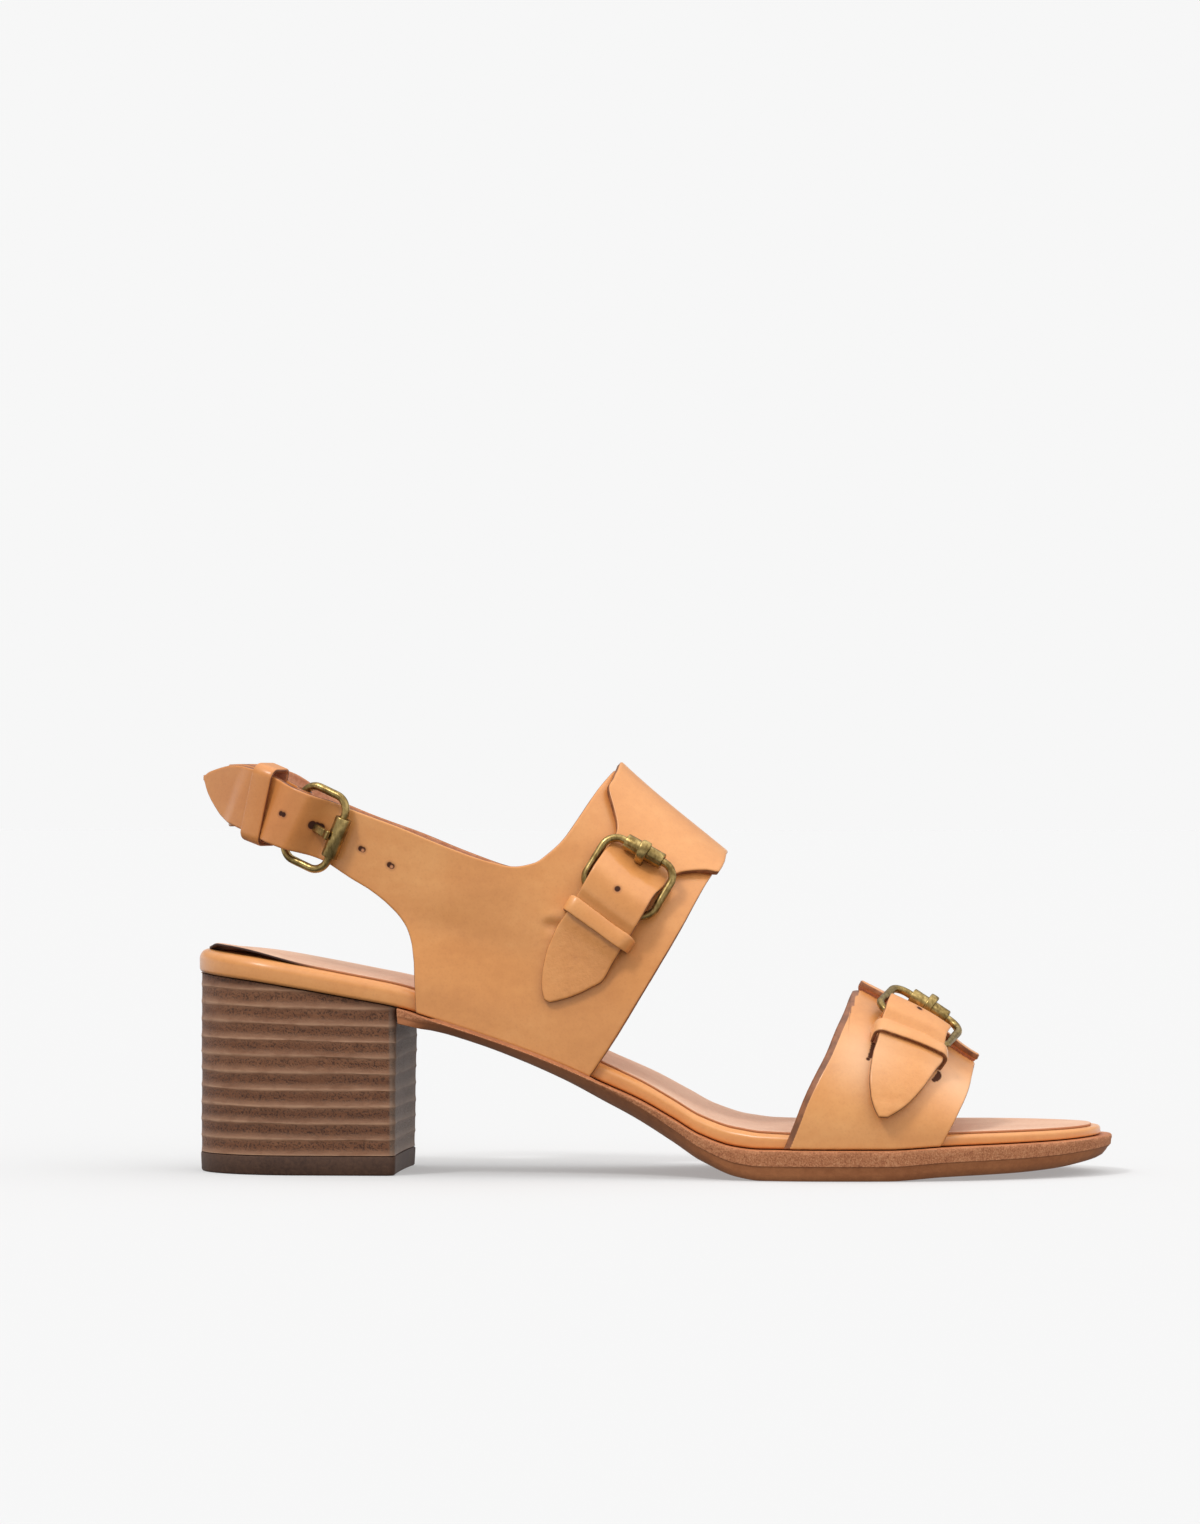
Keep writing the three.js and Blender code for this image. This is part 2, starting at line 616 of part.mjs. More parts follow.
function stackedLoops(levels) {
  const loops = levels.map(([z, grow]) => heelOutline(z, grow));
  const count = loops[0].length;
  const positions = [];
  loops.forEach((loop) => loop.forEach((point) => positions.push(point.x, point.y, point.z)));
  const index = [];
  for (let i = 0; i + 1 < loops.length; i += 1) {
    for (let k = 0; k < count; k += 1) {
      const a = i * count + k;
      const b = i * count + ((k + 1) % count);
      index.push(a, b, b + count, a, b + count, a + count);
    }
  }
  const flat = loops[0].map((point) => new THREE.Vector2(point.x, point.y));
  const end = (loops.length - 1) * count;
  THREE.ShapeUtils.triangulateShape(flat, []).forEach(([a, b, c]) => {
    index.push(a, c, b, end + a, end + b, end + c);
  });
  const geometry = new THREE.BufferGeometry();
  geometry.setAttribute('position', new THREE.Float32BufferAttribute(positions, 3));
  geometry.setIndex(index);
  return facingOut(geometry);
}

function heelStack() {
  const levels = [];
  const bottom = TOP_LIFT_HEIGHT + FIT / 2;
  const lifts = Math.ceil((HEEL_SEAT - bottom) / LIFT_HEIGHT) + 1;
  const line = 0.5;
  for (let i = 0; i < lifts; i += 1) {
    const z = bottom + i * LIFT_HEIGHT;
    levels.push([z, i === 0 ? 0 : LIFT_RIDGE], [z + line, 0], [z + LIFT_HEIGHT - line, 0]);
  }
  const block = toSolid(stackedLoops(levels));
  const reach = HEEL_BREAST + SECTION_SPACING;
  const width = SEAT_WIDTH;
  const above = soleStations(-SECTION_SPACING, reach, false).map((x) => {
    const z = seam(x) - 0.02;
    const high = HEEL_SEAT + 3 * LIFT_HEIGHT;
    return {
      outer: [new THREE.Vector3(x, -width, z), new THREE.Vector3(x, width, z)],
      inner: [new THREE.Vector3(x, -width, high), new THREE.Vector3(x, width, high)],
    };
  });
  return toGeometry(block.subtract(toSolid(loft(above))));
}

function topLift() {
  return stackedLoops([[0, 0], [TOP_LIFT_HEIGHT - 0.3, 0.2], [TOP_LIFT_HEIGHT, 0]]);
}

// Upper panels
const TOP_REACH = THREE.MathUtils.degToRad(3);
const FLAP_UNDER = THREE.MathUtils.degToRad(14);

function quarterEdges(x, front = QUARTER_FRONT) {
  const at = x / SOLE_LENGTH;
  const rearEnd = QUARTER_REAR[QUARTER_REAR.length - 1].at;
  let low = seam(x) + FIT;
  if (at <= rearEnd) low = INSTEP_HEIGHT * column(QUARTER_REAR, 'height', at);
  if (at >= front[0].at) low = INSTEP_HEIGHT * column(front, 'height', at);
  const past = at >= QUARTER_TOP[QUARTER_TOP.length - 1].at;
  const high = past ? ridge(x) : INSTEP_HEIGHT * column(QUARTER_TOP, 'height', at);
  return { low, high };
}

function places(from, to, steps) {
  return Array.from({ length: steps + 1 }, (_, i) => from + ((to - from) * i) / steps);
}

const QUARTER_PLACES = [
  ...places(0.2495, 0.2505, 1), ...places(0.27, 0.35, 4), ...places(0.365, 0.4375, 5),
  ...places(0.446, 0.575, 11), 0.5775,
];
const INNER_PLACES = [
  ...places(0.2495, 0.2505, 1), ...places(0.27, 0.35, 4), ...places(0.365, 0.4115, 3),
  ...places(0.42, 0.567, 12), 0.5695,
];

// The sling leans, so what goes across it leans as well
function slingLift(x, z) {
  const { low, high } = quarterEdges(x);
  const across = x < ANKLE_AT ? SLING_SLANT * (z - (low + high) / 2) : 0;
  return column(SLING_LIFTS, 'lift', (x - across) / SOLE_LENGTH);
}

function quarterLateral() {
  const sling = [
    0.0105, 0.014, 0.019, 0.027, 0.036, 0.046, 0.0551, 0.064, 0.074, 0.084, 0.092, 0.1, 0.108, 0.117,
    0.126, 0.138, 0.15, 0.162, 0.175, 0.19, 0.205, 0.222, 0.235, 0.243, 0.2475,
  ];
  const rails = [...sling, ...QUARTER_PLACES].map((at) => strapRail(at * SOLE_LENGTH));
  return panel({
    side: LATERAL,
    strap: true,
    rails,
    rows: 7,
    crowding: 1.5,
    top: TOP_REACH,
    low: (x) => quarterEdges(x).low,
    high: (x) => quarterEdges(x).high,
    lift: slingLift,
  });
}

// The sling's edges behind the heel, as shares of the instep's height
const SLING_BACK_EDGES = { low: 0.850, high: 0.988 };

function slingEdges(x) {
  const { low, high } = quarterEdges(x, INNER_FRONT);
  const at = x / SOLE_LENGTH;
  const back = 1 - smooth((at - 0.03) / 0.04);
  const sink = INNER_SINK * smooth((at - 0.09) / 0.05) * (1 - smooth((at - 0.37) / 0.06));
  const top = high + SLING_MARGIN * back - sink;
  return {
    low: THREE.MathUtils.lerp(low, INSTEP_HEIGHT * SLING_BACK_EDGES.low, back) - SLING_MARGIN * back,
    high: THREE.MathUtils.lerp(top, INSTEP_HEIGHT * SLING_BACK_EDGES.high + SLING_MARGIN, back),
  };
}

function quarterMedial() {
  const shared = [
    0.0315, 0.034, 0.0385, 0.046, 0.058, 0.072, 0.09,
    0.11, 0.13, 0.15, 0.175, 0.205, 0.235, 0.2475,
  ];
  const outer = [0.082, 0.077, 0.07, 0.058, 0.046, 0.0385, 0.034, 0.0315];
  const rails = [
    ...outer.map((at) => -railAt(at * SOLE_LENGTH)),
    0,
    ...[...shared, ...INNER_PLACES].map((at) => railAt(at * SOLE_LENGTH)),
  ];
  const base = panel({
    side: MEDIAL,
    rails,
    rows: 6,
    crowding: 1.3,
    top: FLAP_UNDER,
    low: (x) => slingEdges(x).low,
    high: (x) => slingEdges(x).high,
    lift: () => 0,
  });
  return toSolid(base).add(toSolid(tab(INSTEP_TAB, 4)));
}

function toeEdges(x, front) {
  const at = x / SOLE_LENGTH;
  const top = TOE_REAR[TOE_REAR.length - 1].at;
  const high = at >= top ? ridge(x) : TOE_STRAP_HEIGHT * column(TOE_REAR, 'height', at);
  const low = at >= front[0].at
    ? TOE_STRAP_HEIGHT * column(front, 'height', at)
    : seam(x) + FIT;
  return { low, high };
}

const TOE_PLACES = [
  ...places(0.652, 0.72, 8), ...places(0.732, 0.822, 8), ...places(0.829, 0.8515, 4),
];
const TOE_INNER_PLACES = [
  ...places(0.652, 0.72, 8), ...places(0.732, 0.802, 7), ...places(0.809, 0.8455, 5),
];

function toeBand(side, top) {
  const inner = side === MEDIAL;
  const front = inner ? TOE_INNER_FRONT : TOE_FRONT;
  return panel({
    side,
    rails: (inner ? TOE_INNER_PLACES : TOE_PLACES).map((at) => at * SOLE_LENGTH),
    rows: 6,
    crowding: 1,
    top,
    low: (x) => toeEdges(x, front).low,
    high: (x) => toeEdges(x, front).high,
    lift: () => 0,
  });
}

function toeStrapMedial() {
  return toSolid(toeBand(MEDIAL, FLAP_UNDER)).add(toSolid(tab(TOE_TAB, 4)));
}

// Buckles
function roundedRect(width, from, to, radius) {
  const half = width / 2;
  const shape = new THREE.Shape();
  shape.moveTo(-half + radius, from);
  shape.lineTo(half - radius, from);
  shape.absarc(half - radius, from + radius, radius, -Math.PI / 2, 0);
  shape.lineTo(half, to - radius);
  shape.absarc(half - radius, to - radius, radius, 0, Math.PI / 2);
  shape.lineTo(-half + radius, to);
  shape.absarc(-half + radius, to - radius, radius, Math.PI / 2, Math.PI);
  shape.lineTo(-half, from + radius);
  shape.absarc(-half + radius, from + radius, radius, Math.PI, Math.PI * 1.5);
  return shape;
}

function extruded(shape, depth, bevel, curveSegments) {
  const geometry = new THREE.ExtrudeGeometry(shape, {
    depth: depth - 2 * bevel,
    bevelEnabled: bevel > 0,
    bevelThickness: bevel,
    bevelSize: bevel,
    bevelOffset: -bevel,
    bevelSegments: 1,
    curveSegments,
  });
  return geometry.translate(0, 0, bevel - depth / 2);
}

function frameGeometry(length) {
  const half = WIRE / 2;
  const shape = roundedRect(BUCKLE_WIDTH, -half, length + half, FRAME_CORNER);
  shape.holes.push(roundedRect(BUCKLE_WIDTH - 2 * WIRE, half, length - half, FRAME_CORNER - WIRE));
  return extruded(shape, WIRE, WIRE / 4, 3);
}

// A profile drawn along Y and Z, as wide as the piece is across the strap
function acrossStrap(shape, width, bevel, curveSegments) {
  const geometry = extruded(shape, width, bevel, curveSegments);
  const turn = new THREE.Matrix4().makeBasis(
    new THREE.Vector3(0, 1, 0),
    new THREE.Vector3(0, 0, 1),
    new THREE.Vector3(1, 0, 0),
  );
  return geometry.applyMatrix4(turn);
}

function rollerGeometry(length) {
  const shape = new THREE.Shape().absarc(length, 0, ROLLER_RADIUS, 0, Math.PI * 2);
  const bore = new THREE.Path().absarc(length, 0, WIRE / 2 + RUNNING_GAP, 0, Math.PI * 2);
  shape.holes.push(bore);
  return acrossStrap(shape, ROLLER_LENGTH, 0, 8);
}

// The prong's eye goes round the bar, and its arm comes up through the strap and over the roller
function prongShape(length, extra) {
  const eye = WIRE / 2 + RUNNING_GAP + PRONG_THICKNESS * 0.6 + extra;
  const top = ROLLER_RADIUS + RUNNING_GAP + PRONG_THICKNESS;
  const tip = length + ROLLER_RADIUS * 0.8;
  const shape = new THREE.Shape();
  const half = Math.PI / 4;
  shape.absarc(0, 0, eye, half, half + Math.PI * 1.5);
  shape.lineTo(length * 0.4, top - 2 * PRONG_THICKNESS - extra);
  shape.lineTo(length * 0.75, top - PRONG_THICKNESS - extra);
  shape.lineTo(tip + extra, top - PRONG_THICKNESS - extra);
  shape.lineTo(tip + extra, top - 0.3 * PRONG_THICKNESS + extra);
  shape.lineTo(length * 0.7, top + extra);
  shape.lineTo(length * 0.35, top - PRONG_THICKNESS * 0.8 + extra);
  return shape;
}

function prongGeometry(length) {
  const shape = prongShape(length, 0);
  shape.holes.push(new THREE.Path().absarc(0, 0, WIRE / 2 + RUNNING_GAP, 0, Math.PI * 2));
  return acrossStrap(shape, PRONG_WIDTH, 0.3, 4);
}

function prongRoom(length) {
  return acrossStrap(prongShape(length, FIT), PRONG_WIDTH + 2 * FIT, 0, 4);
}

// The chape holds the bar: a strip folded round it. Its leg lies along the panel, under the tab,
// or for the sling on top of the inner strap that it is a part of.
function chapeGeometry({ length, legBottom, legTop, drop }) {
  const ring = WIRE / 2 + RUNNING_GAP + CHAPE_LAYER;
  const turnAt = (z) => Math.PI - Math.asin(THREE.MathUtils.clamp(z / ring, -1, 1));
  const shape = new THREE.Shape();
  shape.absarc(0, 0, ring, turnAt(legBottom), turnAt(legTop) + Math.PI * 2);
  shape.lineTo(-length, legTop - drop);
  shape.lineTo(-length, legBottom - drop);
  shape.holes.push(new THREE.Path().absarc(0, 0, WIRE / 2 + RUNNING_GAP, 0, Math.PI * 2));
  return acrossStrap(shape, CHAPE_WIDTH, 0, 5);
}

// A keeper is a narrow band bent round the tab, its section carried from side to side
function keeperGeometry({ point, half, from, to, below, above, closed }) {
  const out = KEEPER_WALL;
  const path = [];
  const steps = 4;
  for (let i = 0; i <= steps; i += 1) {
    const across = THREE.MathUtils.lerp(-1, 1, i / steps);
    path.push([across * half, above, across * (half + out), above + out]);
  }
  path.push([half, below, half + out, closed ? below - out : below]);
  if (closed) {
    for (let i = 1; i < steps; i += 1) {
      const across = THREE.MathUtils.lerp(1, -1, i / steps);
      path.push([across * half, below, across * (half + out), below - out]);
    }
  }
  path.push([-half, below, -half - out, closed ? below - out : below]);
  if (!closed) path.unshift(path.pop());
  const sections = path.map(([inAcross, inLift, outAcross, outLift]) => ({
    outer: [point(from, outAcross, outLift), point(to, outAcross, outLift)],
    inner: [point(from, inAcross, inLift), point(to, inAcross, inLift)],
  }));
  return loft(sections, closed);
}

function tabRow(rows, down) {
  return {
    centre: SOLE_LENGTH * column(rows, 'middle', down, 'down'),
    half: (TAB_WIDTH / 2) * column(rows, 'half', down, 'down'),
  };
}

const DEGREES = Math.PI / 180;
const BUCKLES = {
  instep: { rows: INSTEP_TAB, roller: 39, bar: 56.3, keeper: 63.2, keeperReach: 1.9 },
  toe: { rows: TOE_TAB, roller: 6, bar: 31, keeper: 43, keeperReach: 3.1 },
};
const SLING_BUCKLE = { roller: 0.166, bar: 0.117, keeper: 0.078 };

// Where a roller, bar or keeper sits on a tab, or on the sling
function tabSeat(rows, down, lift) {
  const { centre, half } = tabRow(rows, down);
  const angle = down * DEGREES;
  return {
    point: lifted(LATERAL, centre, angle, lift),
    normal: upperNormal(LATERAL, centre, angle),
    across: upperPoint(LATERAL, centre + half, angle).sub(upperPoint(LATERAL, centre - half, angle)),
  };
}

function slingPoint(x, across, lift) {
  const { low, high } = quarterEdges(x);
  const place = x + across * Math.sin(Math.atan(SLING_SLANT));
  const z = (low + high) / 2 + across * Math.cos(Math.atan(SLING_SLANT));
  return lifted(LATERAL, railAt(place), downAt(place, z), lift);
}

function slingSeat(at, lift) {
  const x = at * SOLE_LENGTH;
  const point = slingPoint(x, 0, lift);
  const across = slingPoint(x, -TAB_WIDTH / 2, 0).sub(slingPoint(x, TAB_WIDTH / 2, 0));
  const reach = slingPoint(x + 1, 0, 0).sub(slingPoint(x - 1, 0, 0));
  return { point, across, normal: across.clone().cross(reach).normalize() };
}

// A buckle's own axes: Y from the bar to the roller, X across the strap and Z out of the upper
function fittedBuckle(bar, roller) {
  const yAxis = roller.point.clone().sub(bar.point).normalize();
  const across = bar.across.clone().normalize().add(roller.across.clone().normalize());
  const xAxis = across.projectOnPlane(yAxis).normalize();
  const zAxis = xAxis.clone().cross(yAxis);
  if (zAxis.dot(bar.normal) < 0) {
    xAxis.negate();
    zAxis.negate();
  }
  const matrix = new THREE.Matrix4().makeBasis(xAxis, yAxis, zAxis).setPosition(bar.point);
  return { matrix, length: roller.point.distanceTo(bar.point) };
}

// Materials
function leather(color, roughness) {
  return new THREE.MeshStandardMaterial({ color, roughness, metalness: 0 });
}
const TAN = leather(0xd39c66, 0.45);
const SOCK = leather(0xdcb8a6, 0.6);
const SOLE_LEATHER = leather(0xb5765a, 0.6);
const STACK = leather(0x765641, 0.55);
const TOP_LIFT_RUBBER = leather(0x3a2a24, 0.7);
const BRASS = new THREE.MeshStandardMaterial({ color: 0x8d7f4c, roughness: 0.35, metalness: 1 });

// Assembly: every piece is made in the last's axes, then the whole is set over its own middle
const sandal = new THREE.Group();
const shoe = new THREE.Group();
sandal.add(shoe);

function place(name, geometry, material) {
  const mesh = new THREE.Mesh(geometry, material);
  mesh.name = name;
  shoe.add(mesh);
}

place('top_lift', topLift(), TOP_LIFT_RUBBER);
place('heel_stack', heelStack(), STACK);
place('outsole', soleLayer({
  from: HEEL_BREAST + 0.4,
  to: PLATFORM_END + OUTSOLE_MARGIN,
  roundBack: false,
  chain: outsoleSection,
}), SOLE_LEATHER);
place('midsole', soleLayer({ from: 0, to: PLATFORM_END, roundBack: true, chain: platformSection }), TAN);
place('sock_lining', soleLayer({
  from: SOCK_INSET,
  to: PLATFORM_END - SOCK_INSET,
  roundBack: true,
  chain: sockSection,
}), SOCK);

const fitted = {
  sling: fittedBuckle(
    slingSeat(SLING_BUCKLE.bar, SLING_BAR_LIFT),
    slingSeat(SLING_BUCKLE.roller, FIT + ROLLER_RADIUS),
  ),
};
for (const [name, { rows, roller, bar }] of Object.entries(BUCKLES)) {
  fitted[name] = fittedBuckle(tabSeat(rows, bar, BAR_LIFT), tabSeat(rows, roller, ROLLER_LIFT));
}
const prongCut = (name) => {
  const { matrix, length } = fitted[name];
  return toSolid(prongRoom(length).applyMatrix4(matrix));
};

place('quarter_lateral', toGeometry(toSolid(quarterLateral()).subtract(prongCut('sling'))), TAN);
place('quarter_medial', toGeometry(quarterMedial().subtract(prongCut('instep'))), TAN);
place('toe_strap_lateral', toeBand(LATERAL, TOP_REACH), TAN);
place('toe_strap_medial', toGeometry(toeStrapMedial().subtract(prongCut('toe'))), TAN);

for (const name of ['instep', 'toe', 'sling']) {
  const { matrix, length } = fitted[name];
  place(`${name}_buckle_frame`, frameGeometry(length).applyMatrix4(matrix), BRASS);
  place(`${name}_buckle_roller`, rollerGeometry(length).applyMatrix4(matrix), BRASS);
  place(`${name}_buckle_prong`, prongGeometry(length).applyMatrix4(matrix), BRASS);
  const ring = WIRE / 2 + RUNNING_GAP + CHAPE_LAYER;
  const sling = name === 'sling';
  const legBottom = sling ? FIT - SLING_BAR_LIFT : -ring;
  const chape = chapeGeometry({
    length: name === 'toe' ? TOE_CHAPE_LENGTH : CHAPE_LENGTH,
    drop: { instep: 0, toe: TOE_CHAPE_DROP, sling: SLING_CHAPE_DROP }[name],
    legBottom,
    legTop: legBottom + (sling ? 1 : 2) * CHAPE_LAYER,
  });
  const cut = toSolid(chape.applyMatrix4(matrix)).subtract(prongCut(name));
  place(`${name}_chape`, toGeometry(cut), TAN);
}

for (const [name, { rows, keeper, keeperReach }] of Object.entries(BUCKLES)) {
  const point = (down, across, lift) => {
    const { centre, half } = tabRow(rows, down);
    const x = centre + (across / (TAB_WIDTH / 2)) * half;
    return lifted(LATERAL, x, down * DEGREES, lift);
  };
  place(`${name}_keeper`, keeperGeometry({
    point,
    half: TAB_WIDTH / 2 + FIT,
    from: keeper - keeperReach,
    to: keeper + keeperReach,
    below: FIT,
    above: TAB_LIFTS.chape + FIT,
    closed: false,
  }), TAN);
}
const slingKeeperAt = SLING_BUCKLE.keeper * SOLE_LENGTH;
place('sling_keeper', keeperGeometry({
  point: slingPoint,
  half: TAB_WIDTH / 2 + 3 * FIT,
  from: slingKeeperAt - SLING_KEEPER_WIDTH / 2,
  to: slingKeeperAt + SLING_KEEPER_WIDTH / 2,
  below: -UPPER_WALL - FIT,
  above: 5 * FIT + CHAPE_LAYER + UPPER_WALL,
  closed: true,
}), TAN);

const box = new THREE.Box3().setFromObject(shoe);
const middle = box.getCenter(new THREE.Vector3());
shoe.position.set(-middle.x, -middle.y, -box.min.z);

export default sandal;
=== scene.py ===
# %% [markdown]
# # A buckled sandal in tan leather
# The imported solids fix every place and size. This lesson builds the finished pieces around them: the sole
# and its stacked heel from the floor up, then the leather that crosses the foot, then the buckles, and last
# the finishes, the light and the camera.

# %% Load the frame
import math
import bpy
import numpy as np
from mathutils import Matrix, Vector
from mathutils.kdtree import KDTree


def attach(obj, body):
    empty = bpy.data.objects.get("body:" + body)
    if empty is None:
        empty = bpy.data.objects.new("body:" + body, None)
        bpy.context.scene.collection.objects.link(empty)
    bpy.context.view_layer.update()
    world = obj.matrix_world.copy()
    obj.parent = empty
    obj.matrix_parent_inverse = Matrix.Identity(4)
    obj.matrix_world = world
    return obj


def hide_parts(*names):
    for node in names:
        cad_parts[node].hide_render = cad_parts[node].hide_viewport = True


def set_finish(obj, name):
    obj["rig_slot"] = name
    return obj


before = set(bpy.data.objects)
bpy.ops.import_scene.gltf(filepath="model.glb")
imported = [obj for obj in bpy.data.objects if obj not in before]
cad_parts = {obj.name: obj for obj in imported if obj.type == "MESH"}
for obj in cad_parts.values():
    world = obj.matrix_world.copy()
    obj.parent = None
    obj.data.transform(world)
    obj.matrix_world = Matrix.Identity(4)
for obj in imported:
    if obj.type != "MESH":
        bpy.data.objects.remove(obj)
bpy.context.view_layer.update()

# %% [markdown]
# A last maker writes a shoe down as sections: how wide it is, where its middle lies and how high it stands
# at each place along its length. Lengths here are millimetres from the heel's back, and SHIFT brings them
# to the frame's origin at the end. The curves between the sections never overshoot them.

# %% Sizes of the last, and curves through the sections
SOLE_LENGTH, BALL_WIDTH, HEEL_SEAT = 245, 80, 53.4
OUTSOLE_THICKNESS, PLATFORM_THICKNESS = 8.2, 6.4
SOCK_INSET, FIT, WALL, TAB_WALL = 2.6, 0.3, 1.8, 1.6
HEEL_BREAST, TOP_LIFT, LIFT = 56, 5.2, 4.33
HEEL_ROUND, TOE_FROM, TOE_ROUND = 28, 182, 60  # the outline's two round ends
INSTEP_HEIGHT, TOE_HEIGHT = 109.9, 49.8
ANKLE_AT, ANKLE_HALF, SLING_BACK, STRAP_LEAVES = 62, 27, 7.5, 13.5
WIRE, ROLLER = 1.05, 2.2  # their radii
RUNNING_GAP, CHAPE_WALL = 0.3, 0.9
NEAR = 0.9995  # how near to the middle the last ring of a flat face goes
SHIFT = np.array([122.5, 1.712, 0])
LATERAL, MEDIAL = -1, 1


def smooth(value):
    share = np.clip(value, 0, 1)
    return share * share * (3 - 2 * share)


def curve(rows, scale=1.0):
    """A curve through rows of (place, value) that never overshoots them."""
    at, value = np.array(rows, float).T
    value = value * scale
    slope = np.diff(value) / np.diff(at)
    product = slope[:-1] * slope[1:]
    total = np.where(product > 0, slope[:-1] + slope[1:], 1)
    inner = np.where(product > 0, 2 * product / total, 0)
    tangent = np.concatenate([slope[:1], inner, slope[-1:]])

    def read(place):
        place = np.clip(np.asarray(place, float), at[0], at[-1])
        i = np.clip(np.searchsorted(at, place, "right") - 1, 0, len(at) - 2)
        step = at[i + 1] - at[i]
        t = (place - at[i]) / step
        rest = 1 - t
        return (value[i] * (1 + 2 * t) * rest**2 + value[i + 1] * (1 + 2 * rest) * t**2
                + step * t * rest * (tangent[i] * rest - tangent[i + 1] * t))
    return read


AT = [0, .068, .124, .18, .233, .277, .32, .363, .407, .449, .494, .531, .561, .6, .626, .678, .722, .763,
      .824, .902, .947, 1]


def shares(*values):
    """A curve along the shoe, with a value at each place in AT."""
    return curve(list(zip(AT, values)))


middle_share = shares(0, 0, 0, -.002, -.005, -.009, -.013, -.018, -.023, -.027, -.03, -.03, -.028, -.022,
                      -.016, -.005, .012, .029, .052, .081, .095, .112)
half_share = shares(.348, .35, .35, .349, .341, .325, .31, .3, .295, .302, .327, .356, .385, .422, .45, .48,
                    .492, .495, .49, .475, .462, .45)
rise_share = shares(1, .96, .912, .859, .804, .729, .652, .571, .478, .381, .277, .169, .078, .012, 0, 0, 0,
                    0, .016, .027, .034, .05)
platform_share = shares(1, .98, .95, .92, .9, .88, .84, .8, .77, .74, .7, .69, .69, .68, .62, .54, .5, .48,
                        .45, .41, .38, .32)
outsole_share = shares(.5, .5, .5, .5, .49, .4, .38, .43, .51, .66, .79, .83, .86, .96, 1, 1, 1, 1, .975,
                       .95, .89, .72)


def seam(x):
    return OUTSOLE_THICKNESS + (HEEL_SEAT - OUTSOLE_THICKNESS) * rise_share(x / SOLE_LENGTH)


def tread(x):
    return seam(x) - OUTSOLE_THICKNESS * outsole_share(x / SOLE_LENGTH)


def platform_top(x):
    return seam(x) + FIT + PLATFORM_THICKNESS * platform_share(x / SOLE_LENGTH)


def outline_middle(x):
    return BALL_WIDTH * middle_share(x / SOLE_LENGTH)


def flush(x):
    """No margin: a layer that follows the outline itself."""
    return 0 * x


def outline_half(x, margin):
    back = (HEEL_ROUND - x) / (HEEL_ROUND + margin)
    front = (x - TOE_FROM) / (TOE_ROUND + margin)
    corner = np.clip(np.maximum(back, front), 0, 1)
    half = BALL_WIDTH * half_share(x / SOLE_LENGTH) + margin
    return half * (1 - corner**2.2) ** (1 / 2.2)


print("Seam over the heel and the ball, mm:", float(seam(20)), float(seam(170)))

# %% [markdown]
# A visible piece is a plain mesh whose place is in its points. This cell makes one from arrays, turns its
# faces outwards, and keeps numbers at its points, such as how near a cut edge they are, for the finishes to
# read.

# %% Make a piece from arrays
PIECES = []


def grid_faces(rows, columns, start=0, wrap=False):
    """Four-sided faces over a grid of points; wrap joins the last row to the first."""
    i = np.arange(rows if wrap else rows - 1)[:, None]
    k = np.arange(columns - 1)[None, :]
    here, there = i * columns + k, ((i + 1) % rows) * columns + k
    return start + np.stack([here, here + 1, there + 1, there], -1).reshape(-1, 4)


def strip_faces(one, other):
    """Faces between two rows of point numbers."""
    return np.stack([one[:-1], one[1:], other[1:], other[:-1]], -1)


def ring_faces(count, size, closed=False):
    """Faces between closed rings of points; closed joins the last ring to the first as well."""
    grid = np.arange(count * size).reshape(count, size)
    grid = np.concatenate([grid, grid[:, :1]], 1)
    after = np.roll(grid, -1, 0) if closed else grid[1:]
    return np.concatenate([strip_faces(a, b) for a, b in zip(grid, after)])


def piece(name, points, faces, nodes, slot, sharp=42, **marks):
    points = (np.asarray(points, float).reshape(-1, 3) - SHIFT) / 1000
    faces = np.asarray(faces, int)
    a, b, c, d = (points[faces[:, i]] for i in range(4))
    volume = np.einsum("ij,ij->", a, np.cross(b, c)) + np.einsum("ij,ij->", a, np.cross(c, d))
    if volume < 0:
        faces = faces[:, ::-1]
    mesh = bpy.data.meshes.new(name)
    mesh.vertices.add(len(points))
    mesh.vertices.foreach_set("co", points.ravel())
    mesh.loops.add(faces.size)
    mesh.loops.foreach_set("vertex_index", faces.ravel().astype(np.int32))
    mesh.polygons.add(len(faces))
    mesh.polygons.foreach_set("loop_start", np.arange(0, faces.size, 4, dtype=np.int32))
    mesh.polygons.foreach_set("use_smooth", np.ones(len(faces), bool))
    for key, values in marks.items():
        attribute = mesh.attributes.new(key, "FLOAT", "POINT")
        attribute.data.foreach_set("value", np.asarray(values, np.float32).ravel())
    mesh.update(calc_edges=True)
    mesh.validate()
    mesh.set_sharp_from_angle(angle=math.radians(sharp))
    thing = bpy.data.objects.new(name, mesh)
    bpy.context.scene.collection.objects.link(thing)
    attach(thing, "root")
    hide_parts(*nodes)
    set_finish(thing, slot)
    PIECES.append(thing)
    print(name, len(faces) * 2, "triangles")
    return thing


# %% [markdown]
# The layers of a sole share one outline. Each layer is a stack of rings that follow it: every ring is drawn
# in from the outline by a little, set at its own height, and the last ones close on the middle line, so
# that the top and the bottom are whole surfaces that curve with the arch.

